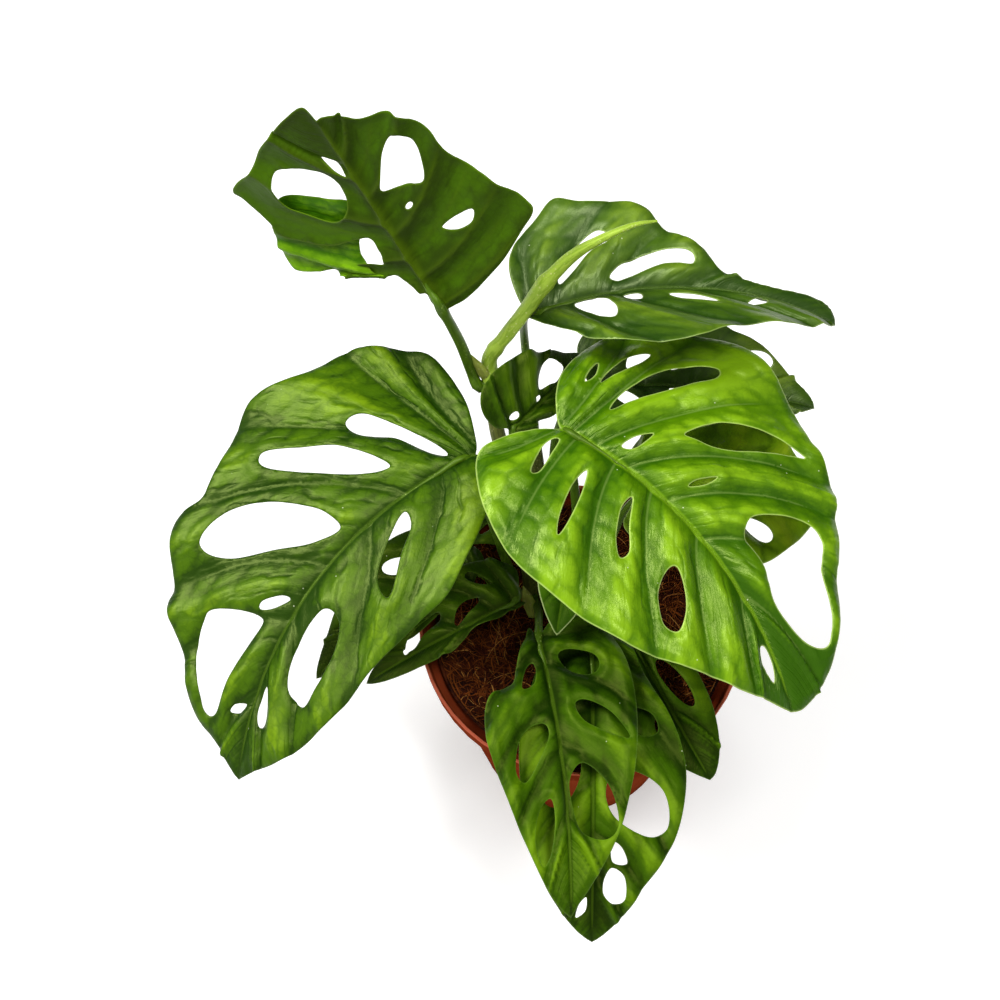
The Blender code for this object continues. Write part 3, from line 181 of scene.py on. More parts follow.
def bell(distance: np.ndarray, width: float) -> np.ndarray:
    """Bell curve exp(-(distance / width) squared): 1 at 0."""
    return np.exp(-(distance / width) ** 2)


def lattice_noise(x: np.ndarray, y: np.ndarray, seed: int) -> np.ndarray:
    """Smooth noise from -1 to 1: random values on whole numbers, eased between them.

    Args:
        x: First coordinate.
        y: Second coordinate, of the same shape.
        seed: Which noise.

    Returns:
        One value for each point.
    """
    def corner(i: np.ndarray, j: np.ndarray) -> np.ndarray:
        """Random value of one lattice point, from the fraction of a large sine."""
        wild = np.sin(i * 127.1 + j * 311.7 + seed * 74.7) * 43758.5453
        return 2.0 * (wild - np.floor(wild)) - 1.0

    i, j = np.floor(x), np.floor(y)
    fx, fy = ease(0.0, 1.0, x - i), ease(0.0, 1.0, y - j)
    low = corner(i, j) * (1 - fx) + corner(i + 1, j) * fx
    high = corner(i, j + 1) * (1 - fx) + corner(i + 1, j + 1) * fx
    return low * (1 - fy) + high * fy


def layered_noise(x: np.ndarray, y: np.ndarray, seed: int, layers: int = 3) -> np.ndarray:
    """Sum of lattice noises, each at twice the pace and half the height of the last."""
    total = np.zeros(np.shape(x))
    for k in range(layers):
        total += lattice_noise(x * 2 ** k, y * 2 ** k, seed + k) / 2 ** k
    return total


def shares(rows: list | tuple | float) -> list | tuple | float:
    """Hundredths of a midrib's length as shares of it, however deep the rows are nested."""
    if isinstance(rows, (list, tuple)):
        return type(rows)(shares(row) for row in rows)
    return round(rows / 100, 4)


@dataclass
class Leaf:
    """One leaf: where it sits, how it bends, and its flat pattern.

    base, tip: ends of the midrib; facing: the direction that the upper side looks to, roughly
    arch: total bend of the midrib in degrees; sway: its sideways bow
    fold, cup: angle of the left and right half at the midrib, and its change out to the margin
    left, right: margin points (along, across) in hundredths of the midrib's length
    holes: closed rows of such points; slits: (start, end, half width) of simple holes, and
    their skew where it isn't the usual one, in hundredths too
    veins_left, veins_right: (start along, end along, end across) of side veins, in hundredths
    roll_line: (start, end, radius, degrees) of a lobe that is folded away on the upper side,
    in shares of the length, as are along and across of the tone_and_light_patches
    petiole: centre line from the stem to the base; stalk: its radius at either end
    lip: how far the margin and the rims of the holes turn down
    rib: extra half width of the midrib's coloured line at the base, in millimetres
    tone_and_light_patches: (along, across, radius in millimetres, strength) of paler or darker
    places. They are partly the leaf's own uneven green and partly painted light and shade:
    lit and glossy spots, and shade cast by the leaves above
    """

    name: str
    base: Point
    tip: Point
    left: list
    right: list
    petiole: list
    veins_left: list = field(default_factory=list)
    veins_right: list = field(default_factory=list)
    holes: list = field(default_factory=list)
    slits: list = field(default_factory=list)
    facing: Point = (0, 0, 1)
    arch: float = 20.0
    sway: float = 0.0
    fold: tuple[float, float] = (6, 6)
    cup: tuple[float, float] = (-12, -12)
    roll_line: tuple | None = None
    relief: float = 0.9
    wave: float = 0.4
    lip: float = 0.35
    rib: float = 0.5
    tone_and_light_patches: tuple = ()
    stalk: tuple[float, float] = (1.9, 1.2)
    finish: Finish = Finish.MID

    def __post_init__(self) -> None:
        """Turn the hundredths into shares, and put the veins in order from base to tip."""
        for name in ("left", "right", "holes", "slits", "veins_left", "veins_right"):
            setattr(self, name, shares(getattr(self, name)))
        for veins in (self.veins_left, self.veins_right):
            veins.sort(key=lambda vein: vein[0] + vein[1])


LEAVES: tuple[Leaf, ...] = (
    Leaf("leaf_left_large", (-38.7, 28.7, 165.0), (-120.0, -70.0, 112.0), arch=35, sway=-0.11,
         fold=(4, 8), cup=(-25, -12), wave=1.2,
         left=[(-3, 5), (0, 11), (5, 15), (10.5, 17), (19, 22), (31.6, 27.2), (40, 27), (49.5, 25.8),
             (60, 24), (68.4, 22.6), (75.8, 20), (84.2, 15.3), (90.5, 10), (95.3, 4.7)],
         right=[(-3, -3.7), (-9.5, -16.3), (-12.8, -30), (-11.4, -36.3), (-5.8, -43), (-1, -44.7),
             (8.4, -43.3), (20, -46), (25.8, -45.3), (33.7, -41), (45.3, -36.8), (49.5, -36.1),
             (54.7, -37.9), (60, -37.2), (70, -31), (75.3, -30), (81.6, -23.2), (92.1, -15.2),
             (95.3, -7.5), (98, -3.5)],
         holes=[[(4.2, -3.4), (5.5, -12), (8.4, -22.6), (11, -25.3), (14, -24.5), (13.7, -19.5),
                 (9, -14.2), (6.8, -6)],
                [(16, -7.6), (16, -12), (19.5, -20.5), (24.2, -25.3), (31, -31.9), (34.2, -30.5),
                 (33.2, -26.3), (27.9, -18.4), (21, -10.5)],
                [(35.2, -3.6), (34, -7.9), (35.3, -13.2), (41, -22.6), (48.4, -28.4), (56.8, -29.7),
                 (59, -26.5), (56.3, -20.5), (48.9, -13.2), (41.6, -6.3)],
                [(56, -2.4), (56.2, -4.5), (60, -8), (62.2, -7.8), (60, -4.8)],
                [(64.2, -6), (64.7, -11), (68.9, -18.4), (72.6, -19.8), (80, -19.2), (86.3, -15),
                 (90.5, -11.8), (89, -8.7), (78.9, -7.7), (70.5, -6.3)],
                [(83.2, -1.9), (84.5, -4.5), (86.8, -5.2), (86, -3)],
                [(22.6, 4.2), (24.5, 8.5), (31.6, 12.6), (39.5, 17.4), (41.9, 16.8), (38.9, 11.6),
                 (29.5, 6.8)],
                [(53, 6.3), (53.2, 11.5), (61, 14.6), (72.6, 14.2), (75.3, 12), (73.2, 7.4), (64.2, 5)],
                [(76.3, 2.1), (80.5, 4.7), (84, 5.1), (85.8, 3.3), (82.1, 1.6)]],
         veins_left=[(0, -1, 11), (9, 40, 23), (30, 60, 20), (58, 82, 13), (78, 93, 6)],
         veins_right=[(-1, -10, -36), (0.5, -1, -44), (4, 29, -41), (19, 52, -36), (44, 68, -28),
             (60, 80, -20), (80, 95, -6)],
         petiole=[(-27, 18.9, 101.1), (-31, 20, 122), (-37, 23, 150), (-38.7, 28.7, 165)],
         tone_and_light_patches=((0.57, 0.03, 11, -0.5), (-0.1, -0.18, 14, -0.4), (0.25, 0.21, 18, 0.18),
             (0.62, -0.28, 16, -0.03), (0.27, -0.42, 13, -0.12), (0.4, -0.18, 14, -0.2),
             (0.07, -0.34, 15, 0.32))),
    Leaf("leaf_right_large", (-10.0, 20.0, 195.0), (65.7, -62.0, 150.0), arch=35, sway=0.08,
         cup=(-20, -20), wave=1.0, finish=Finish.BRIGHT, rib=1.3, lip=0.45,
         left=[(-3, 2.2), (-8.4, 9), (-12.4, 17.4), (-13.2, 29), (-11, 38.4), (-5.3, 45.8), (2.1, 51),
             (12.6, 53.7), (25.3, 52.6), (35.8, 49.5), (46.3, 45.8), (51.6, 45.3), (61, 41.6),
             (70, 35.3), (78.4, 28.4), (86.3, 23.5), (92.6, 19), (97.5, 14.5), (100.5, 9), (101.2, 3.5)],
         right=[(-3.7, -5), (-7.6, -13.2), (-7.9, -20.5), (-1.1, -29), (6.8, -35.3), (17.9, -40.5),
             (30.5, -41.8), (44.2, -39.5), (55.8, -35.3), (65.3, -29), (75.8, -20.5), (84.2, -14.2),
             (91, -7.9), (96.5, -3.3)],
         holes=[[(-5.4, 15.8), (-5.2, 19.5), (-7.3, 23.2), (-6.8, 19)],
                [(-0.7, 35), (-3.3, 29), (-3.7, 21.6), (-2.4, 18.2), (-0.8, 24), (0, 30)],
                [(14.7, 42.1), (10, 39.5), (5.2, 32), (3.6, 21.6), (3.7, 16.3), (5.3, 11.6), (7.2, 17.5),
                 (10, 24.7), (13.7, 33.2), (16.6, 39)],
                [(14.9, 4), (15.2, 8.5), (17.8, 12.6), (18.2, 8), (17.4, 4.7)],
                [(23.2, 18.4), (26.8, 27.9), (35.8, 35.3), (44.2, 39), (49.2, 40.5), (46.3, 37.4),
                 (40.5, 31), (33, 22.8), (27, 19.3)],
                [(37.7, 14.7), (34.8, 10), (34.7, 7.2), (37.2, 11)],
                [(51.6, 14.2), (55.8, 21.1), (62.1, 26.8), (68.4, 28.1), (76.8, 23.2), (85.8, 20.3),
                 (91.5, 16), (88.4, 11), (81, 7.9), (71.6, 6.5), (63.2, 9.5), (54.7, 10)],
                [(80, -2.8), (84.2, -4.2), (90, -3), (86, -1.2), (81, -1.2)],
                [(2.9, -4.5), (1.4, -7), (2.6, -12.1), (5, -17.6), (6.3, -16), (4.7, -10)],
                [(14.4, -8.4), (14.9, -14.2), (18.9, -23.7), (22.8, -29), (22.1, -24.7), (18.4, -15.3)],
                [(27.6, -6.6), (27.8, -11), (32.6, -18), (37.4, -21.4), (37.9, -18.4), (32.6, -13.2)],
                [(49.5, -11.6), (47.9, -14), (51, -19.5), (57.9, -23.5), (62.1, -21.5), (57.9, -15.8)]],
         veins_left=[(0, -9, 36), (3, 2, 47), (10, 33, 47), (20, 58, 41), (34, 66, 36), (48, 78, 26),
             (66, 98, 10)],
         veins_right=[(0, -6, -20), (5, 16, -37), (17, 42, -37), (29, 60, -28), (46, 74, -18),
             (66, 88, -9)],
         petiole=[(-2, 24.3, 124.8), (-5, 24.5, 160), (-8.5, 23.5, 185), (-10, 20, 195)],
         # the two patches on the top lobe are painted light that lifts the shade cast by
         # leaf_upper_right
         tone_and_light_patches=((0.4, -0.01, 16, 0.3), (0.41, -0.35, 13, 0.35), (0.66, -0.2, 13, 0.35),
             (0.94, 0.05, 20, -0.75), (0.67, -0.02, 9, -0.35), (0.01, 0.13, 16, -0.1),
             (0.08, 0.36, 22, 0.6), (0.25, 0.42, 14, 0.25))),
    Leaf("leaf_upper_left", (-47.8, 41.8, 230.0), (-84.3, 66.1, 292.0), facing=(0.1, 1, 0), arch=12,
         sway=-0.02, fold=(0, 0), cup=(10, 10), wave=0.6, finish=Finish.OLIVE, rib=1.2, stalk=(2.1, 1.6),
         roll_line=((0.205, -0.14), (0.262, -0.345), 0.022, 180),
         left=[(0, 6.8), (2.6, 15.3), (7.4, 25.8), (12.6, 36.3), (21, 49), (27.4, 58.3), (32.6, 57.9),
             (44.2, 52.1), (53.7, 44.7), (63.2, 39.5), (73.7, 37.9), (84.2, 33.2), (90.5, 26.2),
             (92.6, 16.3), (97.9, 10), (100, 3)],
         right=[(5, -2.2), (10.8, -4.9), (17.5, -9.5), (20.5, -15.2), (10.8, -28.4), (3.8, -30.9),
             (-2.1, -30.3), (-9.9, -31), (-15.9, -31.7), (-18.6, -35.1), (-17.2, -44), (-15.6, -55.1),
             (-12.1, -64.4), (-4.4, -69.1), (5.6, -70.1), (12.6, -68.4), (19.2, -66.8), (21.5, -65.3),
             (24.3, -62.1), (24.6, -58.9), (22, -49.8), (19.6, -41), (27.2, -33.5), (30, -26),
             (29.5, -19), (27.5, -13.8), (30.8, -11.2), (35.3, -11.5), (40.1, -13), (41.2, -18.5),
             (42, -31.3), (45.8, -41.2), (52.8, -53.5), (59.6, -53.9), (72.6, -58.6), (77.2, -61.7),
             (81, -57), (86.4, -44), (95, -33), (101, -22), (105, -13), (107.2, -3)],
         holes=[[(59.5, 6.8), (58, 17), (57.5, 25), (65.3, 27.9), (75, 28.4), (81, 24), (76, 16.5),
                 (66, 10)],
                [(34.5, 19.5), (32.1, 26), (33.5, 34), (38.4, 37), (37.5, 28)],
                [(82.7, -33.1), (80, -22), (74.9, -11.3), (64, -10.5), (55.9, -13.5), (52, -24),
                 (59, -34.1), (66, -40), (76, -39)],
                [(82.5, -10), (78.2, -4.8), (71.7, -2.9), (76.3, -6.9)]],
         slits=[((49, 11.5), (50.7, 16.2), 1.1, 0)],
         veins_left=[(3, 20, 46), (18, 42, 49), (40, 66, 36), (60, 86, 29), (80, 96, 10)],
         veins_right=[(3, 16, -10), (10, 30, -52), (28, 48, -60), (46, 86, -46), (70, 98, -24)],
         petiole=[(-37.4, 48.1, 177.0), (-39.8, 50.5, 183.0), (-43.4, 48.3, 203.0), (-47.8, 41.8, 230)],
         tone_and_light_patches=((0.34, 0.33, 17, 0.15), (0.75, -0.41, 18, 0.7), (0.4, -0.28, 12, 0.2),
             (0.56, 0.04, 14, -0.2), (0.25, 0.05, 12, -0.2))),
    Leaf("leaf_upper_right", (-20.3, 58.3, 205.0), (86.0, 66.7, 188.0), arch=45, sway=0.05,
         fold=(18, 25), cup=(-10, -5), wave=1.0, finish=Finish.GREY,
         left=[(-2.5, 6), (-3.7, 16), (-1.1, 24.7), (6.3, 30.5), (11.6, 34.2), (18.9, 31), (28.4, 29.5),
             (37.9, 25.8), (43.2, 19.5), (54.2, 12.5), (60, 6.2), (70, 4.2), (80, 4.2), (90, 5.3),
             (97, 4.3)],
         right=[(1.2, -4.5), (8.4, -13.2), (16.8, -22.6), (26, -28), (36, -30), (47, -28.5),
             (54.7, -24.7), (64.2, -21), (74.7, -17.4), (85.3, -12.1), (94.2, -5.8)],
         holes=[[(10, 6.8), (11.5, 13), (17.9, 18.4), (23.5, 20.5), (26, 16), (20, 13.2), (15, 9)],
                [(25.3, 4.5), (30, 8.8), (42.1, 11.6), (50, 10.8), (50.5, 6.8), (42, 6.8), (31, 4)],
                [(14.5, -1.4), (15, -5), (20.5, -12.1), (25, -14.5), (25.8, -10), (22.1, -3)],
                [(29, -2.1), (30, -4.2), (34, -5.6), (33.5, -3)],
                [(42, -5.5), (46, -8.4), (55.8, -9.8), (50, -6.6)],
                [(66.3, -6.3), (73, -1.4), (72, -5.5)]],
         veins_left=[(0, 0, 21), (8, 24, 27), (26, 42, 18), (50, 60, 5)],
         veins_right=[(2, 14, -17), (12, 34, -28), (27, 60, -21), (50, 84, -11), (74, 95, -4)],
         petiole=[(-17.2, 55.6, 127.3), (-18, 64, 140), (-21, 79, 158), (-21.5, 74, 182),
             (-20.3, 58.3, 205)],
         tone_and_light_patches=((0.36, 0.2, 14, 0.2), (0.12, 0.22, 12, -0.15), (0.87, -0.06, 12, -0.15))),
    Leaf("leaf_right_behind", (2.0, 61.7, 158.0), (82.9, 56.3, 152.0), arch=30, fold=(18, 22),
         cup=(-15, -15), wave=0.8, finish=Finish.GREY,
         left=[(-4, 8), (-5, 20), (5, 29), (22, 32), (40, 32), (58, 29), (74, 20), (86, 12), (96, 5)],
         right=[(-4, -8), (-5, -18), (5, -26), (22, -30), (42, -29), (62, -23), (80, -15), (94, -5)],
         slits=[((55, 12), (78, 15), 4.5), ((16, 6), (26, 20), 3.5), ((34, 6), (46, 19), 3.5), ((10, -5),
             (24, -19), 3.5), ((34, -4), (56, -13), 5)],
         veins_left=[(2, 10, 25), (22, 36, 27), (42, 58, 26), (68, 86, 12)],
         veins_right=[(2, 10, -22), (24, 40, -24), (44, 68, -18), (70, 88, -8)],
         petiole=[(-10.9, 51.3, 116), (-9.5, 55, 135), (-4, 60.5, 152), (2, 61.7, 158)],
         # painted light and shade: the paler patch is the sheen on the strip beside leaf_right_large,
         # the darker one the shade under its slits
         tone_and_light_patches=((0.8, 0.18, 18, 0.8), (0.35, 0.0, 25, -0.3))),
    Leaf("leaf_centre_dark", (-26.2, 29.9, 177.0), (0.8, 65.3, 172.0), facing=(0.06, -0.62, 0.78),
         fold=(16, 10), cup=(4, -10), stalk=(1.3, 1.1), finish=Finish.DARK,
         left=[(-3, 5), (-8.8, 11.4), (-11, 24.2), (-7, 35.1), (2.1, 42.3), (16.9, 45.2), (31.7, 43),
             (48.2, 38.8), (55.8, 31.25), (69.7, 24.1), (79, 15.3), (90, 8)],
         right=[(5, -6), (15.1, -14), (20.8, -8.4), (33.4, -13.5), (43.7, -12), (55, -11), (75, -8),
             (92, -4)],
         holes=[[(39.3, 9.8), (43.75, 15.5), (52, 19.9), (59.2, 22), (65.3, 19.7), (69.6, 13.5),
                 (70.8, 7.1), (63.75, 4), (57.5, 2.8), (50.7, 5.3), (41.8, 7.3)]],
         slits=[((28, 5), (37.5, 3.8), 2, 10), ((4.5, 8.5), (12, 6.5), 3, 10)],
         veins_left=[(2, 10, 36), (16, 34, 38), (40, 58, 24)],
         veins_right=[(10, 24, -10), (34, 48, -10)],
         petiole=[(-21.6, 30.3, 141), (-21.5, 27.2, 150), (-24, 27.8, 165), (-26.2, 29.9, 177.0)],
         # painted sheen: the patch lightens the blade where it shows a grey gloss
         tone_and_light_patches=((0.35, 0.15, 12, 0.3),)),
    Leaf("leaf_right_under", (20.3, 31.6, 132.0), (86.2, 27.4, 132.0), arch=24, fold=(8, 8),
         cup=(-14, -14), wave=0.8, finish=Finish.UNDER_BRIGHT,
         left=[(-5, 8), (-8, 22), (4, 42), (20, 50), (40, 52), (58, 48), (76, 36), (90, 20), (97, 7)],
         right=[(-5, -8), (-8, -20), (4, -32), (22, -38), (44, -44), (62, -43), (80, -31), (94, -12)],
         slits=[((55, -15), (70, -28), 4.5), ((28, -6), (42, -25), 4.5), ((26, 8), (40, 25), 4),
             ((56, 6), (72, 18), 4)],
         veins_left=[(2, 6, 30), (22, 34, 30), (44, 62, 27), (70, 86, 12)],
         veins_right=[(2, 8, -26), (22, 38, -30), (44, 64, -28), (72, 88, -12)],
         petiole=[(6.4, 17.5, 100), (10, 21, 115), (15, 28, 127), (20.3, 31.6, 132)]),
    Leaf("leaf_front", (-16.6, -16.0, 113.0), (-6.2, -113.8, 98.0), arch=25, sway=0.03, fold=(8, 8),
         wave=1.0, finish=Finish.DEEP, lip=0.9,
         left=[(-5, 6), (-7, 14), (-2, 22), (8, 27), (20, 28.5), (35, 27.8), (50, 25), (60, 22),
             (70, 18.5), (80, 13.5), (90, 7), (96, 2.5)],
         right=[(-4.5, -2), (0, -4.5), (5, -7.5), (12, -10.5), (18, -13), (20.5, -20), (26, -23.7),
             (34, -25), (42, -24.5), (60, -20), (77, -14), (90, -8), (96, -4)],
         holes=[[(10, -4.5), (13, -7.5), (20.5, -10), (19, -5.5), (13, -3.6)],
                [(33.5, -4.5), (34.5, -10), (40, -14.5), (50, -16.5), (54, -13.5), (46, -7.5),
                 (38, -3.4)],
                [(60, -5.5), (64, -9.8), (74, -11.8), (82.5, -9.5), (78, -6.2), (67, -4.5)],
                [(7, 9), (9, 5), (15, 9), (17, 16), (14, 18.7), (10, 17)],
                [(26.5, 10), (28.5, 7.2), (35, 10), (41, 20), (41.8, 24.2), (34, 20.5), (29, 15.5)],
                [(48.4, 6.8), (53.5, 13), (61, 16.3), (71.6, 16.8), (75.7, 12), (72, 4.5), (63, 1.8),
                 (53.7, 1.8)]],
         veins_left=[(0, 0, 19), (10, 30, 26), (40, 64, 20), (66, 84, 10)],
         veins_right=[(6, 24, -21), (26, 48, -22), (44, 68, -16), (66, 88, -8)],
         petiole=[(-16.9, 11.4, 88), (-16.0, 4, 96), (-16.0, -8, 108), (-16.6, -16.0, 113.0)],
         # the darker patch near the base is a painted shadow of leaf_right_large; the paler ones near
         # the tip are painted sheen
         tone_and_light_patches=((0.82, 0.05, 16, 0.6), (0.76, -0.14, 10, 0.2), (0.15, 0.0, 16, -0.2))),
    Leaf("leaf_front_under", (2.9, -15.7, 106.0), (1.6, -116.1, 78.0), arch=40, cup=(-10, -12), wave=0.8,
         finish=Finish.DEEP,
         left=[(-5, 5), (-3, 11), (6, 15), (16, 19.5), (25, 24.5), (34, 28.5), (44, 30.5), (55, 29.5),
             (66, 26.5), (75, 21.2), (82, 16), (90, 10.5), (96, 5)],
         right=[(-5, -5), (-3, -12), (6, -17), (18, -21), (32, -24), (46, -24), (60, -22), (72, -19),
             (82, -15), (90, -10), (96, -5)],
         holes=[[(44, 7), (45, 15), (50, 22.2), (57, 24.7), (63.5, 23.7), (65.5, 17.5), (60, 7.5),
                 (52, 4)],
                [(67.2, 6.2), (69, 9.5), (74.2, 11.2), (73.5, 6.2)],
                [(75.5, 5.5), (78, 10.2), (85, 10.5), (87.2, 7), (83, 3.2)],
                [(85, -2), (87.5, -4.5), (91.8, -5.5), (89.5, -2.2)],
                [(22, 10), (25, 19), (31, 21.5), (33, 16), (28, 9)]],
         slits=[((40, -5), (56, -15), 5), ((66, -4), (78, -11), 3.5), ((12, -4), (28, -15), 4)],
         veins_left=[(2, 8, 13), (14, 38, 27), (38, 68, 23), (64, 80, 15), (76, 90, 9)],
         veins_right=[(2, 10, -16), (22, 42, -21), (48, 68, -17), (70, 86, -10)],
         petiole=[(1.8, 9.3, 86), (1.8, 2, 94), (2.5, -10, 104), (2.9, -15.7, 106.0)],
         # painted light: these patches brighten the parts that are seen lit through the holes of
         # leaf_front
         tone_and_light_patches=((0.38, -0.2, 12, 0.8), (0.65, -0.16, 12, 0.7), (0.51, 0.02, 11, 0.7))),
    Leaf("leaf_front_right", (17.8, -10.7, 100.0), (44.6, -60.9, 90.0), arch=30, sway=-0.02,
         cup=(-10, -10), finish=Finish.DEEP,
         left=[(-5, 8), (-2, 18), (12, 25), (28, 26), (44, 25), (62, 23), (76, 19), (88, 13), (97, 5.5)],
         right=[(-5, -8), (-2, -20), (12, -27), (28, -30), (46, -29), (62, -24.5), (78, -17), (92, -7)],
         slits=[((20, 7), (56, 13), 5.5, -10), ((16, -7), (34, -20), 4), ((48, -6), (62, -15), 3.5)],
         veins_left=[(2, 10, 19), (50, 74, 13)],
         veins_right=[(2, 10, -22), (28, 48, -24), (58, 78, -13)],
         petiole=[(7.4, 12.2, 88), (10.5, 6, 94), (14.5, -3, 99), (17.8, -10.7, 100.0)]),
    Leaf("leaf_low_left", (-24.0, -1.0, 112.0), (-78.6, -26.8, 98.0), finish=Finish.DARK,
         left=[(-4, 3), (6, 4.5), (18, 4.8), (30, 4), (37, 7.5), (46, 10.5), (60, 10), (76, 8.5),
             (88, 6), (96, 3)],
         right=[(-5, -8), (-8, -20), (2, -31), (18, -34), (36, -31), (52, -25.5), (68, -17.5), (82, -10),
             (93, -4.5)],
         holes=[[(18.7, -12), (24, -6.8), (36, -2.6), (38.4, -4.7), (33, -10.5), (25, -14)],
                [(43, -14.5), (46, -10), (60, -4.5), (71.5, -1.8), (70, -6), (60, -11.5), (50, -15.5)],
                [(8, -17), (16, -28), (21, -26.2), (17, -20), (12, -16.5)]],
         veins_left=[(2, 10, 3.5), (30, 44, 8)],
         veins_right=[(2, 6, -26), (14, 32, -25), (36, 56, -19), (62, 80, -9)],
         petiole=[(-24.6, 11.8, 92), (-23.8, 9, 101), (-23.6, 3, 109.5), (-24, -1, 112)]),
    Leaf("leaf_low_left_under", (-44.9, 25.5, 106.0), (-97.8, -20.2, 88.0), fold=(5, 5),
         finish=Finish.DARK,
         left=[(-5, 6), (-3, 15), (10, 21), (28, 23), (46, 22), (64, 18), (80, 12), (93, 5)],
         right=[(-5, -6), (-3, -16), (10, -23), (28, -26), (46, -24), (64, -19), (80, -12), (93, -5)],
         slits=[((20, 5), (36, 15), 3.5), ((20, -5), (38, -17), 4), ((50, -4), (64, -12), 3.5), ((48, 4),
             (62, 11), 3)],
         veins_left=[(2, 8, 17), (30, 46, 19), (60, 76, 10)],
         veins_right=[(2, 8, -18), (32, 48, -20), (62, 78, -10)],
         petiole=[(-31.7, 14.2, 88), (-34, 16, 97), (-40, 17, 104), (-44.9, 25.5, 106.0)]),
    Leaf("leaf_low_inner", (-22.0, 38.0, 105.0), (-64.0, 40.0, 100.0), arch=18, cup=(-14, -14),
         finish=Finish.DARK,
         left=[(-5, 8), (-5, 20), (10, 29), (30, 31), (50, 28), (70, 20), (86, 11), (95, 4)],
         right=[(-5, -8), (-5, -20), (10, -29), (30, -31), (50, -28), (70, -20), (86, -11), (95, -4)],
         slits=[((22, 6), (36, 20), 4), ((50, 5), (64, 14), 3.5), ((22, -6), (36, -20), 4), ((50, -5),
             (64, -14), 3.5)],
         veins_left=[(2, 8, 24), (32, 48, 24), (62, 78, 12)],
         veins_right=[(2, 8, -24), (32, 48, -24), (62, 78, -12)],
         petiole=[(-18.0, 41.0, 99), (-19, 40.5, 102), (-20.5, 39.5, 104.5), (-22, 38, 105)]),
    Leaf("leaf_small_hanging", (-5.0, 7.0, 140.0), (-10.5, -22.0, 126.0), fold=(14, 14), wave=0.2,
         relief=0.3, stalk=(1.3, 1.0), finish=Finish.YOUNG,
         left=[(-4, 10), (5, 22), (25, 30), (50, 28), (75, 17), (92, 6)],
         right=[(-4, -10), (5, -22), (25, -30), (50, -28), (75, -17), (92, -6)],
         veins_left=[(10, 30, 24), (45, 68, 17)],
         veins_right=[(10, 30, -24), (45, 68, -17)],
         petiole=[(-3, 17.5, 114.5), (-3.6, 15, 128), (-4.5, 11, 137), (-5, 7, 140)]),
)

# Vines: centre line in millimetres from the coir upwards, with radii at the same points
STEMS: dict[str, tuple[list, list]] = {
    "stem_main": ([(-19, 14, 62), (-18, 16, 84), (-21, 25, 112), (-26.5, 35.5, 140),
                   (-31.2, 42.6, 158.0), (-33.4, 49.9, 176.0), (-33.7, 52.5, 183.0)],
                  [3.2, 3.2, 3.0, 2.8, 2.8, 2.6, 2.5]),
    "stem_back": ([(-12, 38, 62), (-12, 39, 84), (-13.5, 44, 102), (-16, 50, 116), (-17, 55, 126)],
                  [2.8, 2.8, 2.7, 3.2, 2.4]),
    "stem_right": ([(3, 13, 62), (3, 14, 84), (1, 18, 100), (-1.5, 22, 114), (-2, 24, 124)],
                   [2.8, 2.8, 2.7, 3.0, 2.2]),
    "stem_left": ([(-26, 12, 62), (-26, 13, 82), (-27, 16, 92), (-27, 18.5, 100)],
                  [2.6, 2.6, 2.6, 2.2]),
}
SHOOT: tuple[list, list] = (
    [(-33.5, 53.4, 186.5), (-27.4, 55.6, 198.0), (-20.8, 57.6, 210.0), (-15.4, 59.1, 221.0),
     (-6.8, 62.4, 231.0), (2.9, 63.4, 239.0), (12.6, 65.5, 243.0), (20.0, 67.1, 243.0)],
    [2.5, 2.5, 2.5, 2.8, 2.2, 1.6, 1.1, 0.4])
SHOOT_FOOT: tuple[list, list] = ([(-31.6, 46.0, 168.0), (-32.9, 49.6, 177.0)], [2.9, 3.1])


def vein_at(vein: tuple[float, float, float], v: np.ndarray) -> np.ndarray:
    """Where a side vein is along the leaf, at the distance v across it: a parabola of v."""
    start, end, across = vein
    t = np.clip(np.abs(v) / abs(across), 0, 1.15)
    return start + (end - start) * (0.45 * t + 0.55 * t * t)


def spline(p0: np.ndarray, p1: np.ndarray, p2: np.ndarray, p3: np.ndarray,
           count: int) -> np.ndarray:
    """Catmull-Rom spans from p1 to p2, each as count rows without its last end."""
    t = np.linspace(0, 1, count, endpoint=False)[None, :, None]
    rows = 0.5 * (2 * p1 + (p2 - p0) * t + (2 * p0 - 5 * p1 + 4 * p2 - p3) * t ** 2
                  + (3 * p1 - p0 - 3 * p2 + p3) * t ** 3)
    return rows.reshape(-1, p1.shape[-1])


def run_length(rows: np.ndarray) -> np.ndarray:
    """Distance run along the rows, from 0 at the first."""
    return np.concatenate([[0], np.cumsum(np.linalg.norm(np.diff(rows, axis=0), axis=1))])


def placed(rows: np.ndarray, run: np.ndarray, at: np.ndarray) -> np.ndarray:
    """Points along the rows at the given distances run."""
    return np.stack([np.interp(at, run, column) for column in rows.T], 1)


def smooth_loop(points: list, step: float, closed: bool = True) -> np.ndarray:
    """Catmull-Rom spline through the points, resampled at about the given step.

    Args:
        points: Corner points (along, across).
        step: Wanted distance between the new points.
        closed: True where the last point joins the first.

    Returns:
        Rows of (along, across).
    """
    pts = np.array(points, float)
    n = len(pts)
    spans = np.arange(n if closed else n - 1)
    picks = [(spans + k) % n if closed else np.clip(spans + k, 0, n - 1) for k in (-1, 0, 1, 2)]
    dense = spline(*(pts[pick][:, None] for pick in picks), 12)
    dense = np.concatenate([dense, pts[:1] if closed else pts[-1:]])
    run = run_length(dense)
    count = max(6 if closed else 2, int(round(run[-1] / step)))
    at = np.linspace(0, run[-1], count + 1)
    return placed(dense, run, at[:-1] if closed else at)


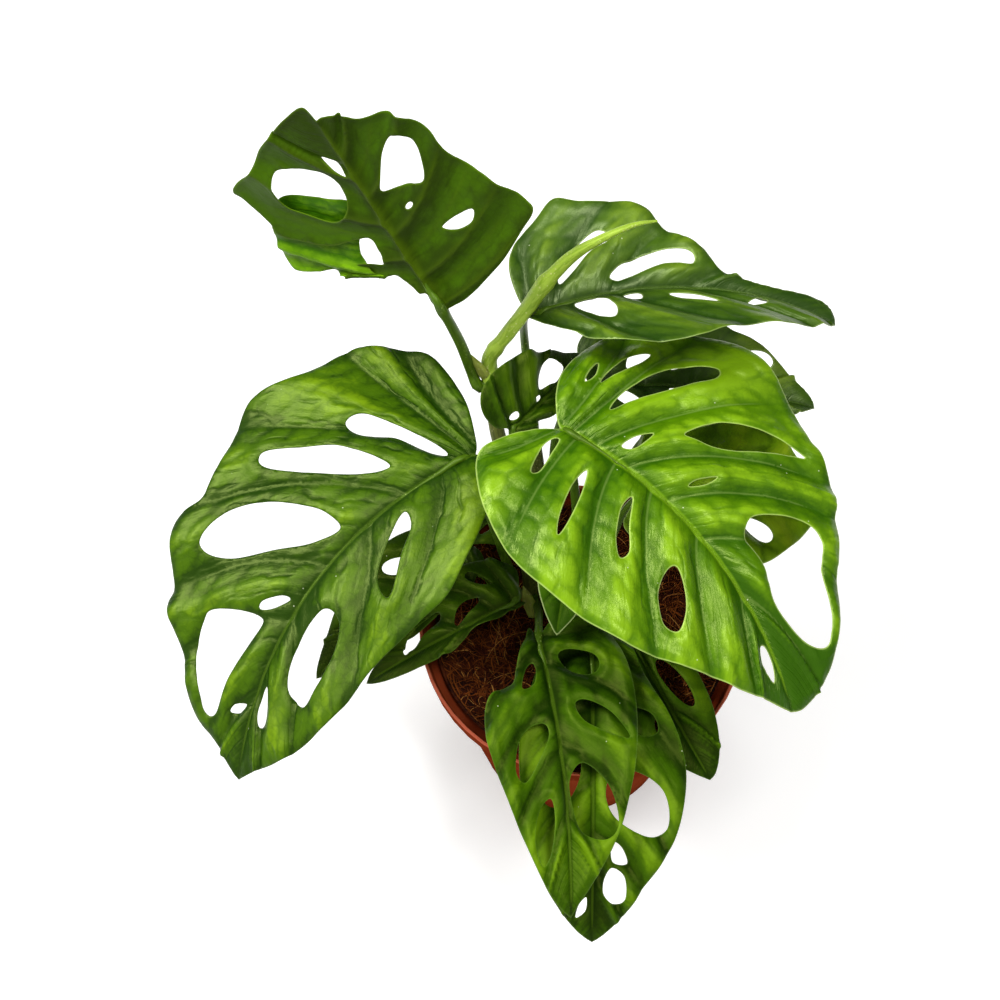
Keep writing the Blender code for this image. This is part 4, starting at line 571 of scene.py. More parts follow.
def slit_loop(start: tuple, end: tuple, half_width: float, skew: float = 0.2) -> np.ndarray:
    """Egg-shaped hole between two points: half width W sin(a) (1 - skew cos(a))."""
    a = angles(12)
    s = (1 - np.cos(a)) / 2
    w = half_width * np.sin(a) * (1 - skew * np.cos(a))
    first = np.array(start, float)
    d = np.array(end, float) - first
    across = np.array([-d[1], d[0]]) / np.linalg.norm(d)
    return first + s[:, None] * d + w[:, None] * across


def inside_loop(loop: np.ndarray, points: np.ndarray) -> np.ndarray:
    """True for each point within the closed loop, by counting the edges that its ray crosses."""
    p, q = loop, np.roll(loop, -1, axis=0)
    x, y = points[:, :1], points[:, 1:]
    span = (p[:, 1] > y) != (q[:, 1] > y)
    rise = np.where(q[:, 1] == p[:, 1], 1.0, q[:, 1] - p[:, 1])
    hit = span & (x < (q[:, 0] - p[:, 0]) * (y - p[:, 1]) / rise + p[:, 0])
    return hit.sum(1) % 2 == 1


def on_blade(loops: list[np.ndarray], points: np.ndarray) -> np.ndarray:
    """True for each point within the margin, the first loop, and outside the holes."""
    return inside_loop(loops[0], points) & ~np.any(
        [inside_loop(hole, points) for hole in loops[1:]] or [np.zeros(len(points), bool)], axis=0)


def distance_to_points(points: np.ndarray, marks: np.ndarray) -> np.ndarray:
    """Distance of each point to the nearest mark, worked out in blocks of points."""
    best = np.empty(len(points))
    for k in range(0, len(points), 2000):
        block = points[k:k + 2000]
        best[k:k + 2000] = np.sqrt(((block[:, None] - marks[None]) ** 2).sum(2).min(1))
    return best


class Sheet:
    """Curved sheet of a leaf: takes (along, across) shares of its length to millimetres."""

    def __init__(self, leaf: Leaf) -> None:
        """Set the sheet's own axes, the midrib's length and the two halves' cross sections."""
        self.leaf = leaf
        self.base = np.array(leaf.base, float)
        tip = np.array(leaf.tip, float)
        self.a = unit(tip - self.base)
        self.b = unit(np.cross(np.array(leaf.facing, float), self.a))
        self.n = np.cross(self.a, self.b)
        self.bend = math.radians(leaf.arch)
        chord = np.linalg.norm(tip - self.base)
        self.length = float(chord * (self.bend / 2) / math.sin(self.bend / 2))
        self.halves = [self.half(0), self.half(1)]

    def half(self, k: int) -> tuple[np.ndarray, np.ndarray, np.ndarray]:
        """Table of one half's cross section: the turning angle summed outwards."""
        t = np.linspace(0, 1.2, 601)
        angle = np.radians(self.leaf.fold[k] + self.leaf.cup[k] * t / 0.5)
        step = np.diff(t)
        x, z = (np.concatenate([[0], np.cumsum((way[1:] + way[:-1]) / 2 * step)])
                for way in (np.cos(angle), np.sin(angle)))
        return t, x, z

    def rolled(self, u: np.ndarray, v: np.ndarray, h: np.ndarray) -> tuple:
        """Wrap what lies beyond the roll line round a cylinder on the upper side.

        A point at distance d beyond the line goes to R sin(d / R), raised by R (1 - cos(d / R)),
        up to the roll's full angle, and straight on after that.
        """
        if not self.leaf.roll_line:
            return u, v, h
        start, end, radius, degrees = self.leaf.roll_line
        line = unit(np.subtract(end, start))
        out = np.array([line[1], -line[0]])
        d = (u - start[0]) * out[0] + (v - start[1]) * out[1]
        past_start = (u - start[0]) * line[0] + (v - start[1]) * line[1] > -0.005
        beyond = np.maximum(d, 0) * past_start
        most = math.radians(degrees)
        angle = np.minimum(beyond / radius, most)
        rest = np.maximum(beyond - most * radius, 0)
        lift = h / self.length
        reach = radius * np.sin(angle) + rest * math.cos(most) - lift * np.sin(angle)
        rise = (radius * (1 - np.cos(angle)) + rest * math.sin(most)
                - lift * (1 - np.cos(angle)))
        move = reach - beyond
        return u + out[0] * move, v + out[1] * move, h + rise * self.length

    def point(self, u: np.ndarray, v: np.ndarray, h: np.ndarray) -> np.ndarray:
        """Place of each point of the sheet.

        The midrib is an arc over the chord from base to tip, bowed aside by sway 4 u (1 - u).
        The cross section is carried along it.

        Args:
            u: Share of the way along the midrib.
            v: Distance across, in lengths of the midrib, plus to the left.
            h: Height above the sheet in millimetres.

        Returns:
            One row (x, y, z) in millimetres for each point.
        """
        bend = self.bend
        u, v, h = self.rolled(u, v, h)
        along = self.length * (math.sin(bend / 2) - np.sin(bend / 2 - bend * u)) / bend
        rise = self.length * (np.cos(bend / 2 - bend * u) - math.cos(bend / 2)) / bend
        pitch = bend * (0.5 - u)
        bow = self.leaf.sway * 4 * u * (1 - u) * self.length
        mid = (self.base + along[:, None] * self.a + rise[:, None] * self.n
               + bow[:, None] * self.b)
        up = np.cos(pitch)[:, None] * self.n - np.sin(pitch)[:, None] * self.a
        t = np.abs(v)
        (lt, lx, lz), (rt, rx, rz) = self.halves
        x = np.where(v >= 0, np.interp(t, lt, lx), -np.interp(t, rt, rx))
        z = np.where(v >= 0, np.interp(t, lt, lz), np.interp(t, rt, rz))
        return mid + self.b * (x * self.length)[:, None] + up * (z * self.length + h)[:, None]


def cells(x: np.ndarray, y: np.ndarray, size: tuple[float, float], seed: int) -> tuple:
    """Crowns of irregular cells: one random middle in each box of a grid of the given size.

    Args:
        x: First coordinate in millimetres.
        y: Second coordinate, of the same shape.
        size: Size of a box along x and y.
        seed: Which layout.

    Returns:
        Height from 0 on the border of a cell to 1 in its middle, from the distances D1 and D2
        to the two nearest middles as ease(D2 - D1), and the cell's own random share.
    """
    x, y = x / size[0], y / size[1]
    i, j = np.floor(x), np.floor(y)
    near = np.full(len(x), 9.0)
    second = np.full(len(x), 9.0)
    own = np.zeros(len(x))
    for di in (-1, 0, 1):
        for dj in (-1, 0, 1):
            wild = [np.sin((i + di) * a + (j + dj) * b + seed * 37.3) * 43758.5453
                    for a, b in ((127.1, 311.7), (269.5, 183.3), (419.2, 371.9))]
            px, py, share = (w - np.floor(w) for w in wild)
            d = np.hypot(i + di + 0.15 + 0.7 * px - x, j + dj + 0.15 + 0.7 * py - y)
            closer = d < near
            second = np.where(closer, near, np.minimum(second, d))
            own = np.where(closer, share, own)
            near = np.minimum(near, d)
    return ease(0.0, 0.55, second - near), own


@dataclass
class Relief:
    """What the veins do to a blade at each of its points.

    height and thick are in millimetres, as is row, the place across the bands. masks are what
    the materials read, by name.
    """

    height: np.ndarray
    thick: np.ndarray
    row: np.ndarray
    masks: dict[str, np.ndarray]


def settle(obj: bpy.types.Object, material: bpy.types.Material, replaced: str = "") -> bpy.types.Object:
    """Give a piece its material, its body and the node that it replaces."""
    obj.data.materials.append(material)
    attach(obj, BODY)
    if replaced:
        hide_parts(replaced)
    return obj


def put_mesh(name: str, verts: np.ndarray, faces: list, smooth: bool = True) -> bpy.types.Object:
    """Make an object of points in millimetres and faces, at the origin."""
    mesh = bpy.data.meshes.new(name)
    mesh.from_pydata((np.asarray(verts, float) * MM).tolist(), [], faces)
    mesh.polygons.foreach_set("use_smooth", np.full(len(mesh.polygons), smooth))
    mesh.update()
    obj = bpy.data.objects.new(name, mesh)
    bpy.context.collection.objects.link(obj)
    return obj


def put_values(obj: bpy.types.Object, name: str, values: np.ndarray) -> None:
    """Store one number at each vertex for the materials."""
    layer = obj.data.attributes.new(name, "FLOAT", "POINT")
    layer.data.foreach_set("value", np.asarray(values, np.float32))


def put_map(obj: bpy.types.Object, at: np.ndarray, name: str = "own") -> None:
    """Store a map of two coordinates, given for each vertex, on the faces' corners."""
    layer = obj.data.uv_layers.new(name=name)
    index = np.empty(len(obj.data.loops), np.int32)
    obj.data.loops.foreach_get("vertex_index", index)
    layer.data.foreach_set("uv", np.asarray(at, np.float32)[index].ravel())


class Blade:
    """Fine closed blade of one leaf, with its holes, grooves, crowns and rounded rim."""

    PILLOW = 2.5  # how much higher than the solid's the dressed blade's pillows are
    GROOVE = 0.70  # depth of a side vein's groove
    GROOVE_WIDTH = 1.25
    MIDRIB_GROOVE = 0.7  # depth of the midrib's groove, 1 mm wide to each side
    RIB_HEIGHT = 1.1  # how far the midrib stands out underneath, at the base
    RIB_WIDTH = 0.95
    QUILT = 0.26  # height of the small crowns between the side veins
    BAND = 14.0  # usual width of the band between two side veins
    PACE = 0.11  # that width as a share of the midrib, beyond the last veins
    CELL = (4.7, 7.5)  # size of a crown, across its band and along it
    SWELL = 1.9  # slow rise and fall of the blade away from the midrib
    SWELL_SIZE = 26.0
    FULL_SIZE = 110.0  # length from which a blade has all of its relief
    VEIN_WIDTH = 0.7  # half width of what the materials take as a side vein
    FINE_VEIN = 0.45  # strength of the vein halfway between two side veins
    LIP_WIDTH = 1.3  # of the turned down margin, and of the low ridge inside it

    def __init__(self, leaf: Leaf, seed: int) -> None:
        """Keep the leaf and lay out its sheet."""
        self.leaf = leaf
        self.sheet = Sheet(leaf)
        self.seed = seed

    def loops(self) -> list[np.ndarray]:
        """Margin and holes as closed rows of points, the margin first."""
        leaf, step = self.leaf, OUTLINE_STEP / self.sheet.length
        left = smooth_loop([(0.0, 0.0)] + leaf.left + [(1.0, 0.0)], step, closed=False)
        right = smooth_loop([(1.0, 0.0)] + leaf.right[::-1] + [(0.0, 0.0)], step, closed=False)
        rows = [np.concatenate([left[:-1], right[:-1]])]
        rows += [smooth_loop(hole, step) for hole in leaf.holes]
        rows += [smooth_loop(slit_loop(*slit), step) for slit in leaf.slits]
        return rows

    def vein_lines(self) -> list[tuple]:
        """Side veins and the finer ones halfway between neighbours, each with its strength."""
        lines = []
        for veins in (self.leaf.veins_left, self.leaf.veins_right):
            lines += [(vein, 1.0) for vein in veins]
            lines += [(tuple((p + q) / 2 for p, q in zip(a, b)), self.FINE_VEIN)
                      for a, b in zip(veins, veins[1:])]
        return lines

    def pattern(self) -> tuple[np.ndarray, np.ndarray, np.ndarray]:
        """Flat triangles of the blade, with points laid along the midrib and the veins.

        Returns:
            Points (along, across), triangles turning left, and each point's distance to the
            margin or a hole in millimetres.
        """
        length = self.sheet.length
        loops = self.loops()
        edge = np.concatenate(loops)
        rib_u = np.arange(OUTLINE_STEP / length, 1.0, OUTLINE_STEP / length)
        laid = [np.stack([rib_u, np.full(len(rib_u), row / length)], 1) for row in RIB_ROWS]
        for vein, _ in self.vein_lines():
            v = np.arange(2.0 / length, abs(vein[2]) * 1.12, 1.0 / length)
            v = math.copysign(1.0, vein[2]) * v
            laid.append(np.stack([vein_at(vein, v), v], 1))
        laid = np.concatenate(laid)
        step = FIELD_STEP / length
        low, high = edge.min(0), edge.max(0)
        row = step * TRIANGLE
        gu, gv = np.meshgrid(np.arange(low[0], high[0], step),
                             np.arange(low[1], high[1], row), indexing="ij")
        gu = gu + (np.round(gv / row) % 2) * step / 2
        field_points = np.stack([gu.ravel(), gv.ravel()], 1)
        field_points = field_points[distance_to_points(field_points, laid) > 0.72 * step]
        inner = self.thinned(np.concatenate([laid, field_points]), 0.45 * step)
        inner = inner[on_blade(loops, inner)]
        inner = inner[distance_to_points(inner, edge) > 0.5 * step]
        edges, at = [], 0
        for loop in loops:
            index = np.arange(len(loop))
            edges += np.stack([at + index, at + (index + 1) % len(loop)], 1).tolist()
            at += len(loop)
        points = np.concatenate([edge, inner])
        verts, _, faces, _, _, _ = delaunay_2d_cdt(
            [Vector(p) for p in points.tolist()], edges, [], 0, 1e-7)
        flat = np.array([tuple(p) for p in verts])
        tris = np.array(faces)
        tris = tris[on_blade(loops, flat[tris].mean(1))]
        one, two = flat[tris[:, 1]] - flat[tris[:, 0]], flat[tris[:, 2]] - flat[tris[:, 0]]
        turned = one[:, 0] * two[:, 1] - one[:, 1] * two[:, 0] < 0
        tris[turned] = tris[turned][:, ::-1]
        used, tris = np.unique(tris, return_inverse=True)
        flat, tris = flat[used], tris.reshape(-1, 3)
        return flat, tris, distance_to_points(flat, edge) * length

    @staticmethod
    def thinned(points: np.ndarray, gap: float) -> np.ndarray:
        """Keep the first of the points that share a square of the size gap."""
        _, first = np.unique(np.round(points / gap).astype(int), axis=0, return_index=True)
        return points[np.sort(first)]

    def fields(self, u: np.ndarray, v: np.ndarray, margin: np.ndarray) -> Relief:
        """Heights and masks of the blade.

        Between two side veins the blade arches as sin(pi phase) squared, with a shallower
        groove halfway. Each vein cuts a groove, depth exp(-(d / width) squared). Small crowns
        lie between the finest veins, the whole blade swells slowly, and it turns down at its
        margin and at the holes.

        Args:
            u: Share of the way along the midrib.
            v: Distance across, in lengths of the midrib.
            margin: Distance to the margin or a hole in millimetres.

        Returns:
            Heights and masks at the points.
        """
        leaf, length = self.leaf, self.sheet.length
        t = np.abs(v)
        band = self.bands(u, v)
        most = np.where(v >= 0, len(leaf.veins_left), len(leaf.veins_right)) - 1
        beyond = np.maximum(np.maximum(-band, band - most), 0)
        arch = np.sin(np.pi * band) ** 2 * ease(0.9, 0.3, beyond)
        arch *= np.clip(t / 0.05, 0, 1)
        vein = np.zeros(len(u))
        groove = np.zeros(len(u))
        for line, strength in self.vein_lines():
            mine = (v * line[2] > 0) & (t < abs(line[2]) * 1.14)
            slope = (line[1] - line[0]) / max(abs(line[2]), 0.02)
            gap = np.abs(u - vein_at(line, v)) * length / math.hypot(1.0, slope)
            fade = strength * mine * ease(1.16, 0.75, t / abs(line[2]))
            vein = np.maximum(vein, fade * bell(gap, self.VEIN_WIDTH))
            groove = np.maximum(groove, fade * bell(gap, self.GROOVE_WIDTH))
        across = t * length
        rib = bell(across, 0.5 + leaf.rib * np.clip(1 - u, 0, 1)) * ease(1.02, 0.9, u)
        x, y = u * length, v * length
        row = band * self.BAND + 60 * np.sign(v)
        cell, tint = cells(row, y, self.CELL, self.seed)
        streak = layered_noise(row / 6.0, y / 24.0, self.seed + 11, 3)
        away = np.clip(across / 5.0, 0, 1) * (1 - 0.7 * groove)
        swell = layered_noise(x / self.SWELL_SIZE + 9, y / self.SWELL_SIZE, self.seed + 40, 2)
        swell *= ease(0.02, 0.3, t)
        wave = (leaf.wave * np.clip(t / 0.45, 0, 1) ** 2
                * np.sin(15.0 * u + 2.2 * np.sign(v) + 5.0 * t))
        rib_cut = self.MIDRIB_GROOVE * bell(across, 1.0)
        share = min(1.0, length / self.FULL_SIZE)
        height = (leaf.relief * self.PILLOW * arch + wave + self.SWELL * share * swell
                  + self.QUILT * share * (cell - 0.5) * away - self.GROOVE * share * groove
                  - rib_cut * ease(-0.05, 0.05, u) - leaf.lip * bell(margin, self.LIP_WIDTH)
                  + 0.4 * leaf.lip * bell(margin - 3.0, self.LIP_WIDTH))
        taper = np.clip(1.0 - u, 0.1, 1.0)
        thick = (BLADE + self.RIB_HEIGHT * taper * bell(across, self.RIB_WIDTH)
                 + 0.22 * groove * np.clip(1.2 - t / 0.45, 0, 1))
        # crown: paler on the raised pillows, partly the blade's own colour and partly painted light
        # shining through them
        crown = 0.7 * arch + 0.3 * cell * away
        # tone: paler and darker places, partly the leaf's own green and partly painted light and shade
        # (lit and glossy spots, shade cast by other leaves)
        tone = np.zeros(len(u))
        for along, out, radius, strength in leaf.tone_and_light_patches:
            tone += strength * bell(np.hypot(u - along, v - out) * length, radius)
        return Relief(height, thick, row, {
            "vein": vein, "crown": crown, "rib": rib, "margin": margin, "tint": tint,
            "tone": tone, "streak": streak})

    def bands(self, u: np.ndarray, v: np.ndarray) -> np.ndarray:
        """Which band between side veins each point lies in: whole numbers are the veins.

        Between two veins the value grows evenly with u, and outside them it goes on at the pace
        of an average band.
        """
        out = np.zeros(len(u))
        for side, veins in ((1, self.leaf.veins_left), (-1, self.leaf.veins_right)):
            lines = np.array([vein_at(vein, v) for vein in veins])
            value = (u - lines[0]) / self.PACE
            for k, (line, following) in enumerate(zip(lines, lines[1:])):
                gap = np.maximum(following - line, 0.02)
                value = np.where(u > line, k + np.clip((u - line) / gap, 0, 1), value)
            beyond = len(veins) - 1 + (u - lines[-1]) / self.PACE
            value = np.where(u > lines[-1], beyond, value)
            out = np.where(v * side > 0, value, out)
        return out

    def build(self) -> bpy.types.Object:
        """Close the two faces of the blade with a rounded rim and store what materials read.

        Returns:
            The blade as one closed mesh.
        """
        length = self.sheet.length
        flat, tris, margin = self.pattern()
        u, v = flat[:, 0], flat[:, 1]
        got = self.fields(u, v, margin)
        count = len(flat)
        ways = np.concatenate([tris[:, (0, 1)], tris[:, (1, 2)], tris[:, (2, 0)]])
        code = ways[:, 0] * count + ways[:, 1]
        back = ways[:, 1] * count + ways[:, 0]
        open_ways = ways[~np.isin(code, back)]
        run = flat[open_ways[:, 1]] - flat[open_ways[:, 0]]
        outward = np.stack([run[:, 1], -run[:, 0]], 1)
        push = np.zeros((count, 2))
        np.add.at(push, open_ways[:, 0], outward)
        np.add.at(push, open_ways[:, 1], outward)
        rim = np.unique(open_ways)
        place = np.full(count, -1)
        place[rim] = 2 * count + np.arange(len(rim))
        push = push[rim] / np.maximum(np.linalg.norm(push[rim], axis=1), 1e-9)[:, None]
        thin = got.thick * np.where(margin < 0.1, 0.72, 1.0)
        out = flat[rim] + push * RIM_BULGE / length
        verts = np.concatenate([
            self.sheet.point(u, v, got.height),
            self.sheet.point(u, v, got.height - thin),
            self.sheet.point(out[:, 0], out[:, 1], (got.height - thin / 2)[rim])])
        a, b = open_ways[:, 0], open_ways[:, 1]
        faces = (tris.tolist() + (tris[:, ::-1] + count).tolist()
                 + np.stack([b, a, place[a], place[b]], 1).tolist()
                 + np.stack([place[b], place[a], a + count, b + count], 1).tolist())
        obj = put_mesh("blade_" + self.leaf.name[5:], verts, faces)
        rows = np.concatenate([np.arange(count), np.arange(count), rim])
        for name, values in got.masks.items():
            put_values(obj, name, values[rows])
        put_values(obj, "upper", np.repeat((1.0, 0.0, 0.5), (count, count, len(rim))))
        at = flat * length / UV_UNIT
        put_map(obj, np.concatenate([at, at + (2.0, 0.0), at[rim]]))
        put_map(obj, (np.stack([got.row, v * length], 1) / UV_UNIT)[rows], "bands")
        name = self.leaf.name
        return settle(obj, leaf_material(name[5:], self.leaf.finish.value, self.seed), name)


def smooth_path(points: list, count: int) -> np.ndarray:
    """Catmull-Rom curve through points in space, with its ends kept.

    Args:
        points: Rows of (x, y, z).
        count: How many rows to return, evenly spaced along the curve.

    Returns:
        The rows of the curve.
    """
    pts = np.asarray(points, float)
    pts = np.concatenate([2 * pts[:1] - pts[1:2], pts, 2 * pts[-1:] - pts[-2:-1]])
    dense = spline(*(pts[k:len(pts) - 3 + k][:, None] for k in range(4)), 24)
    dense = np.concatenate([dense, pts[-2:-1]])
    run = run_length(dense)
    return placed(dense, run, np.linspace(0, run[-1], count))


def angles(count: int) -> np.ndarray:
    """Angles of a ring of points, evenly round."""
    return np.linspace(0, 2 * np.pi, count, endpoint=False)


def grid_faces(rows: int, sides: int) -> np.ndarray:
    """Quads between rings of points that follow each other."""
    i, j = np.meshgrid(np.arange(rows - 1), np.arange(sides), indexing="ij")
    k = (j + 1) % sides
    return np.stack([i * sides + j, i * sides + k, (i + 1) * sides + k, (i + 1) * sides + j],
                    -1).reshape(-1, 4)


def sweep(name: str, path: np.ndarray, radii: np.ndarray, profile: np.ndarray,
          axis: Axis = Axis.Y) -> bpy.types.Object:
    """Closed tube: a ring of the given radius carried along the path, with domed ends.

    Args:
        name: Name of the piece.
        path: Centre line, rows of (x, y, z) in millimetres.
        radii: Radius at each row of the path.
        profile: Factor of the radius, rings by sides, for flutes and channels.
        axis: Direction from which the rings are turned.

    Returns:
        The tube, with its map (share round, millimetres along) and attribute along.
    """
    sides = profile.shape[1]
    tangent = np.gradient(path, axis=0)
    tangent /= np.linalg.norm(tangent, axis=1)[:, None]
    side = np.cross(tangent, np.array(axis.value))
    side /= np.linalg.norm(side, axis=1)[:, None]
    up = np.cross(side, tangent)
    dome = np.array([0.0, 0.45, 0.8])
    rows = np.concatenate([
        path[0] - tangent[0] * (radii[0] * DOME * (1 - dome))[:, None],
        path,
        path[-1] + tangent[-1] * (radii[-1] * DOME * (1 - dome[::-1]))[:, None]])
    scale = np.sqrt(1 - (1 - dome) ** 2)
    scale[0] = 0.02
    size = np.concatenate([radii[0] * scale, radii, radii[-1] * scale[::-1]])
    side, up, factor = (np.pad(table, ((3, 3), (0, 0)), "edge") for table in (side, up, profile))
    a = angles(sides)
    ring = (side[:, None] * np.cos(a)[None, :, None] + up[:, None] * np.sin(a)[None, :, None])
    verts = (rows[:, None] + ring * (size[:, None] * factor)[:, :, None]).reshape(-1, 3)
    end = (len(rows) - 1) * sides
    faces = grid_faces(len(rows), sides).tolist()
    faces += [list(range(sides))[::-1], list(range(end, end + sides))]
    obj = put_mesh(name, verts, faces)
    run = run_length(rows)
    put_values(obj, "along", np.repeat(run / run[-1], sides))
    put_map(obj, np.stack([np.tile(np.arange(sides) / sides, len(rows)),
                           np.repeat(run / UV_UNIT, sides)], 1))
    return obj


def nearest_root(start: Point) -> np.ndarray:
    """Point on the middle line of the nearest vine, for a stalk that starts beside it."""
    lines = np.concatenate([smooth_path(line, 60) for line, _ in (*STEMS.values(), SHOOT)])
    return lines[np.argmin(((lines - np.array(start, float)) ** 2).sum(1))]


@dataclass
class Petiole:
    """Stalk of one leaf, from its stem into the underside of the midrib."""

    leaf: Leaf
    sheet: Sheet
    sides: int = 14
    rings: int = 56
    knee: float = 0.22  # how much thicker the joint below the blade is

    def build(self) -> bpy.types.Object:
        """Carry a slightly channelled ring along the stalk, with a swollen knee at the blade."""
        under = self.sheet.point(np.array([0.02, 0.10, 0.20]), np.zeros(3),
                                 np.array([-1.0, -1.1, -0.9]))
        root = nearest_root(self.leaf.petiole[0])[None]
        path = smooth_path(np.concatenate([root, np.array(self.leaf.petiole[:-1], float), under]),
                           self.rings)
        t = np.linspace(0, 1, self.rings)
        thick, slim = self.leaf.stalk
        knee_at = 1.0 - 0.22 * self.sheet.length / run_length(path)[-1]
        radii = (thick + (slim - thick) * t) * (
            1 + self.knee * bell(t - knee_at, 0.05) + 0.10 * bell(t, 0.05))
        radii *= 1.0 - 0.65 * ease(knee_at + 0.02, 1.0, t)
        channel = 1 - 0.10 * bell(angles(self.sides) - np.pi / 2, 0.5)
        obj = sweep("petiole_" + self.leaf.name[5:], path, radii,
                    np.repeat(channel[None], self.rings, 0), Axis.X)
        return settle(obj, vine_material("petiole", PETIOLE), self.leaf.name)


@dataclass
class Vine:
    """One vine from the coir up, with swollen nodes."""

    name: str
    replaced: str
    line: list
    radii: list
    nodes: tuple = (0.35, 0.7)
    sides: int = 20
    rings: int = 90
    finish: VineFinish = VINE

    def build(self) -> bpy.types.Object:
        """Carry a slightly fluted ring along the vine and swell it at each node."""
        path = smooth_path(self.line, self.rings)
        t = np.linspace(0, 1, self.rings)
        radii = np.interp(t, np.linspace(0, 1, len(self.radii)), self.radii)
        for node in self.nodes:
            radii = radii * (1 + 0.14 * bell(t - node, 0.018) - 0.05 * bell(t - node - 0.04, 0.02))
        a = angles(self.sides)
        flute = 0.03 * np.sin(3 * a[None] + 5 * t[:, None]) + 0.02 * np.sin(7 * a[None])
        ripple = 0.02 * lattice_noise(np.cos(a)[None] * 2 + t[:, None] * 30,
                                      np.sin(a)[None] * 2 + t[:, None] * 9, 5)
        obj = sweep(self.name, path, radii, 1 + flute + ripple)
        return settle(obj, vine_material(self.name, self.finish), self.replaced)


@dataclass
class Sheath:
    """Papery olive bract left at a node: a short, flattened, pointed scale."""

    name: str
    line: list
    radii: tuple = (2.3, 2.2, 1.5, 0.25)
    flat: float = 0.55
    sides: int = 16
    rings: int = 24

    def build(self) -> bpy.types.Object:
        """Carry a flattened ring along the line and bring it to a point."""
        path = smooth_path(self.line, self.rings)
        radii = np.interp(np.linspace(0, 1, self.rings), np.linspace(0, 1, len(self.radii)),
                          self.radii)
        a = angles(self.sides)
        ring = 1 / np.hypot(np.cos(a), np.sin(a) / self.flat)
        ridge = 1 + 0.05 * np.sin(9 * a)
        obj = sweep(self.name, path, radii, np.repeat((ring * ridge)[None], self.rings, 0))
        return settle(obj, vine_material("sheath", SHEATH_SKIN))


SHEATHS = (
    Sheath("sheath_upper", [(-34.0, 50.6, 178.0), (-35.6, 49.6, 183.0), (-38.0, 49.9, 188.5),
                            (-40.2, 50.4, 193.0)]),
    Sheath("sheath_back", [(-22.5, 59.0, 170.0), (-24.0, 59.4, 174.0), (-25.0, 59.6, 177.5)],
           radii=(1.5, 1.5, 0.3)),
    Sheath("sheath_right", [(-17.4, 6.0, 88.0), (-19.4, 8.3, 94.0), (-20.6, 9.2, 99.0),
                            (-21.6, 9.8, 103.0)], radii=(2.6, 2.6, 1.8, 0.25)),
)


class Wire:
    """Value in a shader. Arithmetic on it adds math nodes."""

    def __init__(self, nodes: "Nodes", socket: bpy.types.NodeSocket) -> None:
        """Keep the tree's helper and the output socket."""
        self.nodes = nodes
        self.socket = socket

    def __add__(self, other: "Wire | float") -> "Wire":
        """Sum."""
        return self.nodes.math("ADD", self, other)

    def __radd__(self, other: float) -> "Wire":
        """Sum with the number in front."""
        return self.nodes.math("ADD", other, self)

    def __sub__(self, other: "Wire | float") -> "Wire":
        """Difference."""
        return self.nodes.math("SUBTRACT", self, other)

    def __rsub__(self, other: float) -> "Wire":
        """Difference from the number in front."""
        return self.nodes.math("SUBTRACT", other, self)

    def __mul__(self, other: "Wire | float") -> "Wire":
        """Product."""
        return self.nodes.math("MULTIPLY", self, other)


